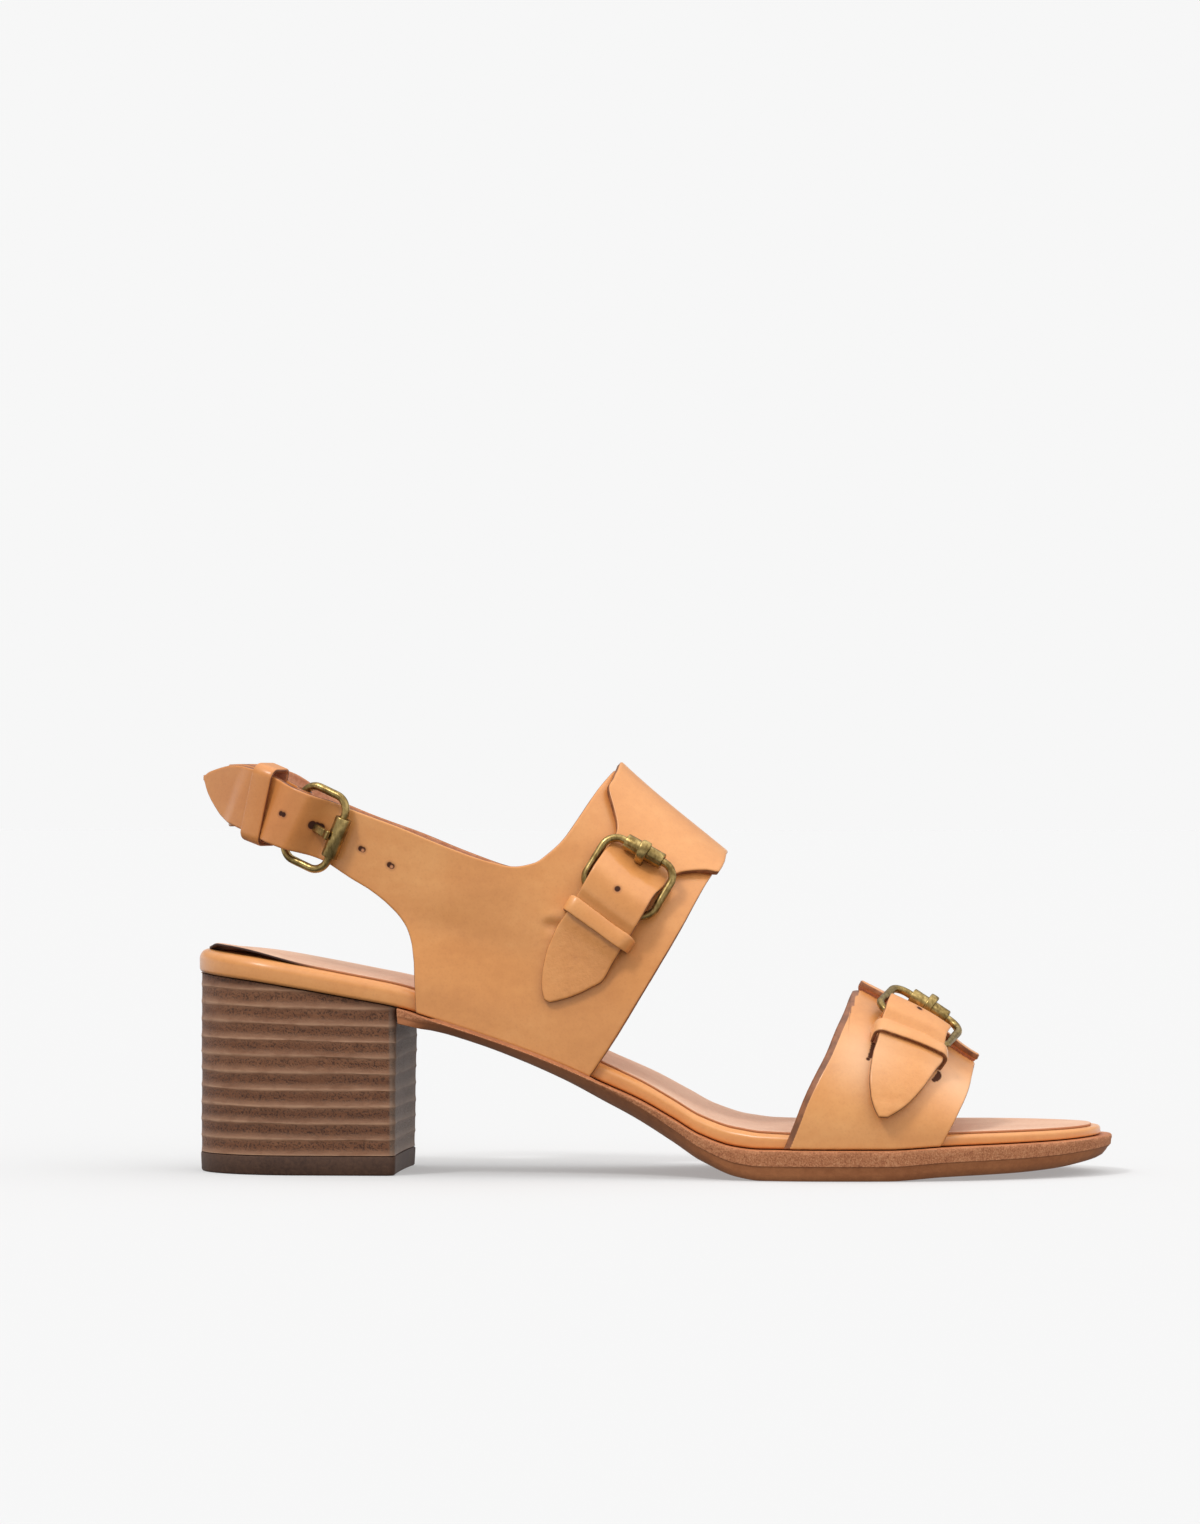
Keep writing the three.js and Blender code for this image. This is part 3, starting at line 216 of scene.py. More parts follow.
# %% Rings around the sole
def sole_outline(from_x, to_x, margin, count=560):
    """Points evenly round the outline, starting behind the heel, and the way out at each."""
    turn = np.linspace(0, np.pi, 3000)
    x = from_x + (to_x - from_x) * (1 - np.cos(turn)) / 2
    half = outline_half(x, margin(x))
    path = np.concatenate([
        np.stack([x, outline_middle(x) - half], 1),
        np.stack([x, outline_middle(x) + half], 1)[::-1],
    ])
    path = np.concatenate([path, path[:1]])
    length = np.concatenate([[0], np.cumsum(np.hypot(*np.diff(path, axis=0).T))])
    place = np.linspace(0, length[-1], count, endpoint=False)
    loop = np.stack([np.interp(place, length, path[:, i]) for i in (0, 1)], 1)
    ahead = np.roll(loop, -2, 0) - np.roll(loop, 2, 0)
    out = np.stack([ahead[:, 1], -ahead[:, 0]], 1) / np.hypot(*ahead.T)[:, None]
    return loop, out


def ring(loop, out, inset, height, share=0.0, ends=(26, 212)):
    """One ring: inset from the outline, then drawn a share of the way to the middle line."""
    flat = loop - out * np.reshape(inset, (-1, 1))
    spine_x = np.clip(flat[:, 0], *ends)
    spine = np.stack([spine_x, outline_middle(spine_x)], 1)
    flat = flat + (spine - flat) * share
    return np.column_stack([flat, height(flat[:, 0])])


def rings_to_faces(rings):
    return np.concatenate(rings), ring_faces(len(rings), len(rings[0]))


def wander(loop, size, seed):
    """A slow, small wander along a loop, as hand-finished edges have."""
    rng = np.random.default_rng(seed)
    turn = np.linspace(0, 2 * np.pi, len(loop), endpoint=False)
    waves = [rng.normal() * np.sin(n * turn + rng.uniform(0, 6.3)) / n**0.5 for n in range(3, 30)]
    return size * np.sum(waves, 0) / 3


print("Once round the platform, mm:", round(float(np.hypot(*np.diff(
    sole_outline(0, 242, flush)[0], axis=0).T).sum())))

# %% [markdown]
# The platform is a board wrapped in the upper's leather. Its top edge is rounded where the leather turns
# over, and the wrap pulls in a little under its lower edge.

# %% Platform and sock lining
def platform():
    loop, out = sole_outline(0, 242, flush)
    thick = platform_top(loop[:, 0]) - seam(loop[:, 0]) - FIT
    rings = []
    for share in (NEAR, 0.6, 0.2):
        rings.append(ring(loop, out, 0.6, lambda x: seam(x) + FIT, share))
    low = 0.16 * thick
    for turn in np.linspace(0, np.pi / 2, 5):
        rise = low * (1 - np.cos(turn))
        rings.append(ring(loop, out, low * (1 - np.sin(turn)), lambda x, rise=rise: seam(x) + FIT + rise))
    round_off = 0.46 * thick
    bulge = wander(loop, 0.1, 3)
    for turn in np.linspace(0, np.pi / 2, 9):
        inset = round_off * (1 - np.cos(turn)) - bulge * np.cos(turn)
        drop = round_off * (1 - np.sin(turn))
        rings.append(ring(loop, out, inset, lambda x, drop=drop: platform_top(x) - drop))
    for share in (0.02, 0.06, 0.3, 0.7, NEAR):
        rings.append(ring(loop, out, 3.2, platform_top, share))
    points, faces = rings_to_faces(rings)
    return piece("midsole_wrap", points, faces, ["midsole"], "tan_leather")


platform()


def sock():
    loop, out = sole_outline(2.6, 239.4, lambda x: 0 * x - SOCK_INSET)
    x, y = loop.T
    curl = 1.5 * smooth((34 - x) / 24) * smooth((-y - 4) / 10) * smooth((x - 1) / 6)
    edge = wander(loop, 0.12, 5)
    # each ring's inset, height over the platform, share of the way to the middle, and nearness to the cut
    rows = [
        (0.4, 0.0, NEAR, 0), (0.4, 0.0, 0.3, 0), (0.2, 0.0, 0, 1), (0.0, 0.1, 0, 1), (0.0, 0.42, 0, 1),
        (0.1, 0.58, 0, 0.5), (0.35, 0.68, 0, 0), (1.4, 0.72, 0, 0),
    ]
    rows += [(1.4, 0.72, share, 0) for share in (0.1, 0.25, 0.5, 0.75, NEAR)]
    rings, cut = [], []
    for inset, level, share, mark in rows:
        rings.append(ring(loop, out, inset + edge,
                          lambda px: platform_top(px) + 0.06 + level + curl * (1 - share), share))
        cut.append(np.full(len(loop), mark))
    points, faces = rings_to_faces(rings)
    return piece("sock_lining_leather", points, faces, ["sock_lining"], "sock_leather",
                 cut=np.concatenate(cut))


sock()

# %% [markdown]
# The outsole is a thick sole leather. Its edge is rough along the upper half, where the welt was roughed
# for the straps, and burnished smooth below, with a fine step between. At the waist its underside is
# bevelled.

# %% Outsole
def outsole():
    def margin(x):
        return 3.0 * (0.3 + 0.7 * smooth((x - HEEL_BREAST) / 8))
    loop, out = sole_outline(HEEL_BREAST + 0.4, 245, margin, 620)
    x = loop[:, 0]
    thick = seam(x) - tread(x)
    waist = np.clip(rise_share(x / SOLE_LENGTH) * 2.5, 0, 1)
    ahead = smooth((x - HEEL_BREAST - 1) / 14)
    bevel = waist * 0.7 * thick * ahead
    rough = wander(loop, 0.12, 7)
    step = 0.52 * (thick - bevel)
    # each ring's inset, height over the seam, share of the way to the middle, and roughness
    rows = [
        (4.5 + 2.5 * bevel, -thick, NEAR, 0), (4.5 + 2.5 * bevel, -thick, 0.4, 0),
        (4.5 + 2.5 * bevel, -thick, 0, 0), (2.4 + 2.4 * bevel, -thick + 0.1, 0, 0),
        (1.9 + 1.0 * bevel, -thick + 0.5 + 0.4 * bevel, 0, 0),
        (1.5 + 0.1 * bevel, -thick + 1.2 + bevel, 0, 0), (1.1, -thick + 1.9 + bevel, 0, 0),
        (0.62, -step - 0.25, 0, 0), (0.5, -step - 0.06, 0, 0.1),
        (0.28, -step + 0.1, 0, 1), (0.18, -0.6 * step, 0, 1), (0.05 + rough, -0.25 * step - 0.3, 0, 1),
        (0.1 + rough, -0.32, 0, 0.8), (0.35, -0.06, 0, 0.3), (0.8, 0, 0, 0), (3, 0, 0, 0),
        (3, 0, 0.3, 0), (3, 0, NEAR, 0),
    ]
    rings, rough_mark = [], []
    for inset, level, share, mark in rows:
        inset = inset * (0.12 + 0.88 * ahead)
        rings.append(ring(loop, out, inset, lambda px, level=level: seam(px) + level, share, (70, 212)))
        rough_mark.append(np.full(len(loop), mark))
    points, faces = rings_to_faces(rings)
    return piece("outsole_leather", points, faces, ["outsole"], "sole_leather",
                 rough=np.concatenate(rough_mark))


outsole()

# %% [markdown]
# A stacked heel is glued up from sheets of leather. Each sheet is a lift, and after turning and sanding the
# glue lines stand a hair proud. They are pale partly from the glue and partly as a painted highlight where
# the ridges catch the light. The lifts rise a little towards the back, and the seat cuts the topmost ones off
# aslant. Every lift is the same short table of rings, with its own small chances of height, size and tone.

# %% Stacked heel and top lift
def heel_outline(z, grow, arc=72):
    fall = 1 - z / HEEL_SEAT
    half = 27 - 2 * fall + grow
    breast = HEEL_BREAST - 0.8 * fall + grow
    back = 0.4 - grow
    turn = np.pi / 2 + np.pi * np.arange(arc + 1) / arc
    side = np.linspace(back + HEEL_ROUND, breast - 2, 26)[1:]
    corner = np.linspace(0, np.pi / 2, 7)[1:]
    low = np.stack([side, np.full(25, -half) + 0.5 * smooth((side - HEEL_ROUND) / 26)], 1)
    bend = np.stack([breast - 2 + 2 * np.sin(corner), -half + 2.5 - 2 * np.cos(corner)], 1)
    inner = np.linspace(-half + 2.5, half - 2.5, 34)[1:-1]
    face = np.stack([breast - 0.6 * (1 - (inner / half) ** 2), inner], 1)
    mirrored = np.concatenate([low, bend])[::-1] * [1, -1]
    return np.concatenate([
        np.stack([back + HEEL_ROUND * (1 + np.cos(turn)), half * np.sin(turn)], 1), low, bend, face,
        mirrored[:-1],
    ])


def drawn_in(flat, share):
    """A section of the heel, drawn in a share of the way to its middle."""
    return flat + (np.array([HEEL_ROUND, 0]) - flat) * share


# How a lift's edge runs: height over its foot, how far it stands proud, and how strong the pale glue line
# and its painted highlight show
LIFT_EDGE = [
    (0, .14, 1), (.2, .12, .7), (.5, .06, .52), (1, .02, .4), (1.6, 0, .2), (2.3, 0, 0), (3, 0, .1),
    (3.6, .02, .25), (4.0, .08, .5), (4.15, .12, .8),
]
LIFTS = 13


def stack():
    rng = np.random.default_rng(11)
    bottom = TOP_LIFT + FIT / 2
    rings, glue, lift = [], [], []
    for i in range(LIFTS):
        z = bottom + i * LIFT + rng.uniform(-.12, .12) * (i > 0)
        own = rng.uniform(0, 1)
        grow = rng.uniform(-0.08, 0.04)
        for up, out, mark in LIFT_EDGE:
            flat = heel_outline(min(z + up, HEEL_SEAT), out + grow)
            turn = np.arange(len(flat)) * 0.09
            waver = 0.13 * np.sin(turn * 1.3 + i) + 0.08 * np.sin(turn * 3.1 + 2.1 * i)
            lean = 0.0027 * i * (HEEL_BREAST - flat[:, 0])
            height = z + up + waver * (i > 0) + lean
            rings.append(np.column_stack([flat, np.minimum(height, seam(flat[:, 0]) - 0.02)]))
            glue.append(np.full(len(flat), mark))
            lift.append(np.full(len(flat), own))
    for share in (0.5, NEAR):
        flat = drawn_in(heel_outline(HEEL_SEAT, 0), share)
        rings.append(np.column_stack([flat, seam(flat[:, 0]) - 0.02]))
        glue.append(np.zeros(len(flat)))
        lift.append(np.zeros(len(flat)))
    base = drawn_in(heel_outline(bottom, 0), 0.97)
    rings.insert(0, np.column_stack([base, np.full(len(base), bottom)]))
    points, faces = rings_to_faces(rings)
    zero = np.zeros(len(base))
    return piece("heel_stack_leather", points, faces, ["heel_stack"], "stacked_leather", sharp=60,
                 glue=np.concatenate([zero, *glue]), lift=np.concatenate([zero, *lift]))


stack()


def top_lift():
    rings = []
    for z, grow, share in ((0, -.5, .97), (0, -.5, 0), (.12, -.15, 0), (.5, .1, 0), (4.6, .25, 0),
                           (5.0, .18, 0), (TOP_LIFT, -.1, 0), (TOP_LIFT, -.1, .97)):
        flat = drawn_in(heel_outline(z, grow), share)
        rings.append(np.column_stack([flat, np.full(len(flat), z)]))
    points, faces = rings_to_faces(rings)
    return piece("top_lift_rubber", points, faces, ["top_lift"], "top_lift")


top_lift()

# %% [markdown]
# Straps lie on a foot that isn't there. A point of that foot is named by its rail, the way along the shoe
# and round the back of the ankle, and by how far down it lies from the ridge of the foot, as an angle.
# Leather is this surface, lifted by its own thickness and by what it lies on.

# %% The foot's surface
ridge_instep = curve([(0, 1.86), (.26, 1.5), (.38, 1.17), (.463, .974), (.58, .756), (.595, .728), (.65, 0),
                      (.9, 0)], INSTEP_HEIGHT)
ridge_toe = curve([(0, 0), (.595, 0), (.65, 1.17), (.72, 1), (.786, .83), (.85, .6), (.9, .5)], TOE_HEIGHT)


def ridge(x):
    return ridge_instep(x / SOLE_LENGTH) + ridge_toe(x / SOLE_LENGTH)


def rail_at(x):
    share = np.clip((ANKLE_AT - x) / (ANKLE_AT - SLING_BACK), 0, 1)
    return np.where(x >= ANKLE_AT, x, ANKLE_AT * (1 - np.arcsin(share) / (np.pi / 2)))


def rail_station(rail):
    reach = np.abs(rail)
    turn = (1 - np.minimum(reach / ANKLE_AT, 1)) * np.pi / 2
    x = np.where(reach >= ANKLE_AT, reach, ANKLE_AT - (ANKLE_AT - SLING_BACK) * np.sin(turn))
    return x, ANKLE_HALF * np.cos(turn)


def down_at(x, z):
    floor = platform_top(x)
    rise = ridge(x) - floor
    over = np.arccos(np.clip((z - floor) / rise, -1, 1))
    return np.where(z < floor, np.pi / 2 + (floor - z) / rise, over)


def foot(side, rail, down):
    rail, down = np.broadcast_arrays(np.asarray(rail, float), np.asarray(down, float))
    facing = np.where(rail < 0, -side, side)
    hand = np.where(down < 0, -facing, facing)
    x, sling = rail_station(rail)
    at, floor = x / SOLE_LENGTH, platform_top(x)
    rise = ridge(x) - floor
    low = down > np.pi / 2
    z = np.where(low, floor - (down - np.pi / 2) * rise, floor + rise * np.cos(down))
    instep = smooth((at - 0.28) / 0.16)
    centre = 3 * smooth((at - 0.24) / 0.19)
    edge = outline_middle(x) + hand * (outline_half(x, 0) + FIT + WALL)
    free = smooth((z - floor) / 20) * (1 - instep)
    half = np.abs(edge - centre) * (1 - free) + sling * free
    lean = np.where(low, 1, np.sqrt(np.clip(1 - instep * np.cos(down) ** 2, 0, 1)))
    return np.stack([x, centre + hand * half * lean, z], -1)


def foot_out(side, rail, down, step=1e-3):
    along = foot(side, rail + step, down) - foot(side, rail - step, down)
    across = foot(side, rail, down + step) - foot(side, rail, down - step)
    out = np.cross(along, across) * side
    return out / np.maximum(np.linalg.norm(out, axis=-1, keepdims=True), 1e-9)


def strap(rail, down):
    """The outer sling strap's surface and the way out of it: it leaves the loop and runs on straight."""
    rail, down = np.broadcast_arrays(np.asarray(rail, float), np.asarray(down, float))
    leaves = rail_at(STRAP_LEAVES)
    back = np.maximum(leaves - rail, 0)
    x = STRAP_LEAVES - back
    z = platform_top(x) + (ridge(x) - platform_top(x)) * np.cos(down)
    angle = np.where(back > 0, down_at(STRAP_LEAVES, z), down)
    rail = np.maximum(rail, leaves)
    base, out = foot(LATERAL, rail, angle), foot_out(LATERAL, rail, angle)
    along = foot(LATERAL, leaves, angle) - foot(LATERAL, leaves - 0.01, angle)
    along[..., 2] = 0
    return base - along / along[..., :1] * back[..., None], out


def strap_rail(x):
    return np.where(x < STRAP_LEAVES, rail_at(STRAP_LEAVES) - (STRAP_LEAVES - x), rail_at(x))


print("Ridge over the instep and the toes, mm:", float(ridge(120)), float(ridge(180)))

# %% [markdown]
# Cut leather has a thickness, and both corners of its edge are rounded off a little by the edge tool. So a
# panel is two skins that draw together near the cut, and a narrow wall between them. The distance from the
# cut is kept as a mark, because the finish darkens there.

# %% A sheet of leather with finished edges
def edge_distance(points, borders):
    lines = []
    for border in borders:
        gap = np.linalg.norm(np.diff(border, axis=0), axis=1)
        length = np.concatenate([[0], np.cumsum(gap)])
        place = np.linspace(0, length[-1], max(2, int(length[-1] / 0.12)))
        lines.append(np.stack([np.interp(place, length, border[:, i]) for i in range(3)], 1))
    cloud = np.concatenate(lines)
    tree = KDTree(len(cloud))
    for i, point in enumerate(cloud):
        tree.insert(point, i)
    tree.balance()
    return np.array([tree.find(point)[2] for point in points.reshape(-1, 3)]).reshape(points.shape[:2])


def sheet(base, out, top, wall, rim=0.5, closed=False, free_ends=(True, True), relief=None, skive=None):
    """Points, faces and marks of a leather sheet: base is the foot's surface, top the outer skin's lift."""
    rows, columns = base.shape[:2]
    borders = [base[:, 0], base[:, -1]]
    if closed:
        borders = [np.concatenate([b, b[:1]]) for b in borders]
    else:
        borders += [base[end] for end, free in zip((0, -1), free_ends) if free]
    away = edge_distance(base, borders)
    near = np.clip(rim - away, 0, rim)
    draw = rim - np.sqrt(rim**2 - near**2)
    top = np.broadcast_to(top, away.shape)
    press = 0 if relief is None else relief(base)
    slant = 0 * away
    if skive is not None:
        line, reach, depth = skive(base)
        slant = np.clip(1 - edge_distance(base, [line]) / reach, 0, 1)
        press = press - depth * slant
    outer = base + out * (top - draw + press)[..., None]
    inner = base + out * (top - wall + draw + press * (slant == 0))[..., None]
    points = np.concatenate([outer.reshape(-1, 3), inner.reshape(-1, 3)])
    half = rows * columns
    faces = [grid_faces(rows, columns, 0, closed), grid_faces(rows, columns, half, closed)[:, ::-1]]
    index = np.arange(half).reshape(rows, columns)
    for side, flip in ((0, 1), (-1, -1)):
        edge = index[:, side]
        edge = np.append(edge, edge[0]) if closed else edge
        faces.append(strip_faces(edge, edge + half)[:, ::flip])
        if not closed:
            faces.append(strip_faces(index[side], index[side] + half)[:, ::-flip])
    cut = np.clip(1 - away / 0.35, 0, 1).ravel()
    cut = np.concatenate([np.maximum(cut, smooth(slant.ravel() * 7)), cut])
    inside = np.repeat([0.0, 1.0], half)
    return points, np.concatenate(faces), dict(cut=cut, inside=inside)


def spread(width, middle, edge=(0, .1, .25, .45, .8)):
    """Shares across a panel of each width, with rows close to both cuts."""
    edge = np.array(edge)
    width = np.maximum(width, 0.05)[:, None]
    left = edge * np.minimum(1, width * 0.42 / edge[-1]) / width
    inner = np.linspace(0, 1, middle + 2)[1:-1]
    first, last = left[:, -1:], 1 - left[:, -1:]
    return np.concatenate([left, first + (last - first) * inner, 1 - left[:, ::-1]], 1)


def joined(*parts):
    """Several sheets as one set of points, faces and marks."""
    points, faces, start = [], [], 0
    marks = {key: np.concatenate([p[2][key] for p in parts]) for key in parts[0][2]}
    for p in parts:
        points.append(p[0])
        faces.append(p[1] + start)
        start += len(p[0])
    return np.concatenate(points), np.concatenate(faces), marks


print("Rows across a 17 mm strap, mm from one cut:", (17 * spread(np.array([17.0]), 6)[0]).round(1))

# %% [markdown]
# Leather that was worn and handled is never quite even. Each crease or dent is listed: the points of its line
# seen from the side, how deep it is, and how wide.

# %% Creases and dents
def strokes(rows):
    """rows: (depth, width, points), the points as (x, z) seen from the side. Positive depths stand proud."""
    def press(base):
        flat = base[..., [0, 2]]
        total = np.zeros(flat.shape[:-1])
        for depth, width, line in rows:
            line = np.array(line, float)
            away = np.full(flat.shape[:-1], 1e9)
            for a, b in zip(line[:-1], line[1:]):
                along = np.clip(((flat - a) @ (b - a)) / ((b - a) @ (b - a)), 0, 1)
                away = np.minimum(away, np.linalg.norm(flat - a - along[..., None] * (b - a), axis=-1))
            total += depth * np.exp(-((away / width) ** 2))
        return total
    return press


print("A 1 mm dent, seen 2 mm from its line:", strokes([(-1, 2, [(0, 0), (9, 0)])])(np.array([[4.0, 0, 2]])))

# %% [markdown]
# The outer quarter and its sling strap are cut from one piece. The strap's pointed end is this piece's rear
# end; it lies over the inner strap, the buckle's bar and the fold that holds it, so its lift changes on the
# way.

# %% Quarter and sling
QUARTER_TOP = curve([
    (.01, .966), (.02, .979), (.05, .993), (.075, .985), (.121, .942), (.178, .888), (.233, .843),
    (.287, .794), (.33, .761), (.357, .749), (.378, .758), (.394, .783), (.409, .816), (.424, .866),
    (.444, .939), (.451, .961), (.458, .9835)], INSTEP_HEIGHT)
QUARTER_REAR = curve([
    (.01, .966), (.015, .929), (.025, .891), (.036, .863), (.051, .848), (.077, .823), (.11, .793),
    (.147, .762), (.178, .72), (.2, .691), (.222, .652), (.239, .607), (.246, .565),
    (.249, .52)], INSTEP_HEIGHT)
QUARTER_FRONT = curve([(.438, .239), (.459, .308), (.494, .435), (.536, .595), (.572, .743), (.578, .76)],
                      INSTEP_HEIGHT)
INNER_FRONT = curve([(.412, .269), (.436, .308), (.472, .435), (.517, .595), (.561, .743), (.57, .774)],
                    INSTEP_HEIGHT)
BAR_LIFT = FIT + WIRE + RUNNING_GAP + CHAPE_WALL
SLING_BAR = FIT + WIRE
SLING_FOLD = SLING_BAR + WIRE + RUNNING_GAP + CHAPE_WALL
SLING_LIFT = curve([(0, 2.4), (.045, 2.4), (.062, 3.6), (.089, 3.7), (.1, 4.8), (.112, SLING_FOLD + 2.3),
                    (.126, SLING_FOLD + 2.1), (.147, 1), (.157, 0), (1, 0)])


def quarter_edges(x, front=QUARTER_FRONT, start=.438):
    at = x / SOLE_LENGTH
    sole = seam(x) + FIT
    drop = np.clip((at - .249) / .0025, 0, 1)
    low = np.where(at <= .249, QUARTER_REAR(at), QUARTER_REAR(.249) + (sole - QUARTER_REAR(.249)) * drop)
    low = np.where(at >= start, front(at), low)
    return low, np.where(at >= .458, ridge(x), QUARTER_TOP(at))


def sling_lift(x, z):
    low, high = quarter_edges(x)
    across = np.where(x < ANKLE_AT, 0.4 * (z - (low + high) / 2), 0)
    return SLING_LIFT((x - across) / SOLE_LENGTH)


def unlifted(x, z):
    """The lift of leather that lies straight on the foot."""
    return 0 * x


def panel(side, rails, edges, top, lift, middle=56, outer_strap=False, **how):
    """A leather panel on the foot between its lower and its upper edge."""
    leaves = rail_at(STRAP_LEAVES)
    x = rail_station(rails)[0]
    if outer_strap:
        x = np.where(rails < leaves, STRAP_LEAVES - (leaves - rails), x)
    low, high = edges(x)
    high = np.maximum(high, low + 0.5)
    stop = np.where(high >= ridge(x) - 1e-6, top, down_at(x, high))
    start = np.maximum(down_at(x, low), stop + 0.01)
    trial = foot(side, rails[:, None], start[:, None] + (stop - start)[:, None] * np.linspace(0, 1, 25))
    width = np.linalg.norm(np.diff(trial, axis=1), axis=-1).sum(1)
    share = spread(width, middle)
    down = start[:, None] + (stop - start)[:, None] * share
    if outer_strap:
        base, out = strap(rails[:, None], down)
    else:
        base, out = foot(side, rails[:, None], down), foot_out(side, rails[:, None], down)
    return sheet(base, out, lift(base[..., 0], base[..., 2]), WALL, **how)


def rails_through(*spans):
    places = np.unique(np.concatenate([np.linspace(*span) for span in spans]))
    return rail_at(places * SOLE_LENGTH)


SHARED = ((.249, .2515, 14), (.2515, .4375, 46), (.4375, .465, 18))


def quarter_lateral():
    tip = strap_rail(np.unique(np.concatenate([np.linspace(2.5, 4, 10), np.linspace(4, STRAP_LEAVES, 34)])))
    rails = np.unique(np.concatenate([
        tip, rails_through((.0552, .2485, 92), *SHARED, (.465, .5775, 34), (.5755, .5777, 8))]))
    creases = strokes([
        (-0.9, 1.6, [(97, 66.8), (101, 65.9)]),
        (0.5, 1.7, [(97, 69), (101, 68.2)]),
        (0.22, 5.0, [(66, 74), (84, 77)]), (-0.2, 4.0, [(70, 66), (90, 60)]),
    ])
    points, faces, marks = panel(LATERAL, rails, quarter_edges, math.radians(3), sling_lift,
                                 outer_strap=True, relief=creases)
    return piece("quarter_lateral_leather", points, faces, ["quarter_lateral"], "tan_leather", **marks)


quarter_lateral()

# %% [markdown]
# A flap comes over the ridge from the inner side and narrows to the tab that goes through the buckle. Rows
# down the outer side give its middle, its half width, and how high it lies over the panel: flat at first,
# up through the frame, over the bar, under the keeper and down to the tip.

# %% Flaps and tabs
# rows: degrees down from the ridge, middle along the sole, half width over TAB_HALF, lift in mm
INSTEP_TAB = np.array([
    (-46, .488, .713, .03), (-34, .5, 1.05, .08), (-24, .505, 1.28, .4), (-15, .509, 1.44, 1.2),
    (-7, .512, 1.57, 2.1), (0, .516, 1.68, 2.4), (6, .516, 1.68, 2.4), (12, .516, 1.69, 2.4),
    (18, .5145, 1.7, 2.4), (23, .5115, 1.7, 2.4), (26.5, .505, 1.54, 2.4), (31, .501, 1.25, 2.4),
    (35.5, .497, .97, 2.4), (39, .492, .85, 2.45), (43, .487, .85, 3.1), (48, .478, .85, 5.6),
    (53.3, .4695, .87, 7.2), (58.5, .46, .88, 6.4), (61, .4545, .88, 4.9), (65, .4455, .87, 4.2),
    (69, .435, .88, 2.7), (73.5, .425, .86, 1.9), (77, .4145, .70, 1.7), (80.4, .4035, .46, 1.6),
    (82.3, .397, .25, 1.6), (83.4, .3935, .09, 1.6)])
TOE_TAB = np.array([
    (-46, .781, 1.65, .03), (-34, .782, 1.72, .08), (-24, .783, 1.78, .4), (-16, .785, 1.8, 1.1),
    (-8, .786, 1.84, 2.1), (0, .7875, 1.84, 2.4), (3, .788, 1.74, 2.4), (6, .7905, 1.3, 2.5),
    (10, .786, .83, 3), (15, .785, .81, 4.2), (20.5, .783, .83, 5.6), (26, .781, .85, 7.2),
    (34, .779, .85, 6.9), (39, .7795, .9, 5), (47, .78, .93, 4.3), (54, .776, .9, 3.3),
    (64, .7705, .81, 3.2), (73, .765, .6, 3.2), (78, .761, .38, 3.5), (81.6, .757, .13, 3.7)])
TAB_HALF = 8.6


def tab_reader(rows):
    return [curve(rows[:, [0, i]]) for i in (1, 2, 3)]


def tab(rows, steps, across=44):
    middle, half, lift = tab_reader(rows)
    down = steps[:, None]
    share = 2 * spread(np.full(len(steps), 17.0), across)[0] - 1
    x = SOLE_LENGTH * middle(down) + half(down) * TAB_HALF * share
    angle = np.radians(down) + 0 * x
    base, out = foot(LATERAL, x, angle), foot_out(LATERAL, x, angle)
    wall = WALL + (TAB_WALL - WALL) * smooth((down - 40) / 10)
    crown = 0.25 * smooth((down - 44) / 6) * (1 - share**2)
    return sheet(base, out, lift(down) + crown, wall + 0 * x, free_ends=(False, True))


def sling_edges(x):
    low, high = quarter_edges(x, INNER_FRONT, .412)
    at = x / SOLE_LENGTH
    back = 1 - smooth((at - 0.03) / 0.04)
    high = high + 0.8 * back - 2 * smooth((at - 0.09) / 0.05) * (1 - smooth((at - 0.37) / 0.06))
    return (low + (INSTEP_HEIGHT * 0.850 - low) * back - 0.8 * back,
            high + (INSTEP_HEIGHT * 0.988 + 0.8 - high) * back)


def quarter_medial():
    behind = -rails_through((.0315, .082, 34))[::-1]
    ahead = rails_through((.0315, .2485, 100), *SHARED, (.465, .5695, 34), (.5675, .5697, 8))
    rails = np.unique(np.concatenate([behind, [-9, -6, -3, 0, 3, 6, 9], ahead]))
    body = panel(MEDIAL, rails, sling_edges, math.radians(14), unlifted)
    steps = np.unique(np.concatenate([
        np.linspace(-46, 39, 76), np.linspace(39, 83, 66), np.linspace(82.4, 83.4, 6)]))
    points, faces, marks = joined(body, tab(INSTEP_TAB, steps))
    return piece("quarter_medial_leather", points, faces, ["quarter_medial"], "tan_leather", **marks)


quarter_medial()

# %% [markdown]
# The toe strap is made the same way: an outer band, and an inner band whose flap comes over the toes.

# %% Toe strap
TOE_REAR = curve([
    (.652, .175), (.664, .321), (.672, .426), (.684, .554), (.697, .681), (.707, .809),
    (.716, .92), (.72, 1)], TOE_HEIGHT)
TOE_FRONT = curve([(.822, .199), (.829, .265), (.839, .365), (.849, .49), (.852, .59)], TOE_HEIGHT)
TOE_INNER_FRONT = curve([(.802, .199), (.809, .265), (.822, .365), (.837, .49), (.846, .59)], TOE_HEIGHT)


def toe_edges(x, front=TOE_FRONT, start=.822):
    at = x / SOLE_LENGTH
    high = np.where(at >= .72, ridge(x), TOE_REAR(at))
    return np.where(at >= start, front(at), seam(x) + FIT), high


def toe_rails(start, end):
    return np.unique(np.concatenate([np.linspace(.652, .656, 6), np.linspace(.656, .72, 46),
                                     np.linspace(.72, start, 40), np.linspace(start, end, 30)])) * SOLE_LENGTH


def toe_skive(base):
    return base[base[:, -1, 0] < .7205 * SOLE_LENGTH, -1], 1.9, 0.9


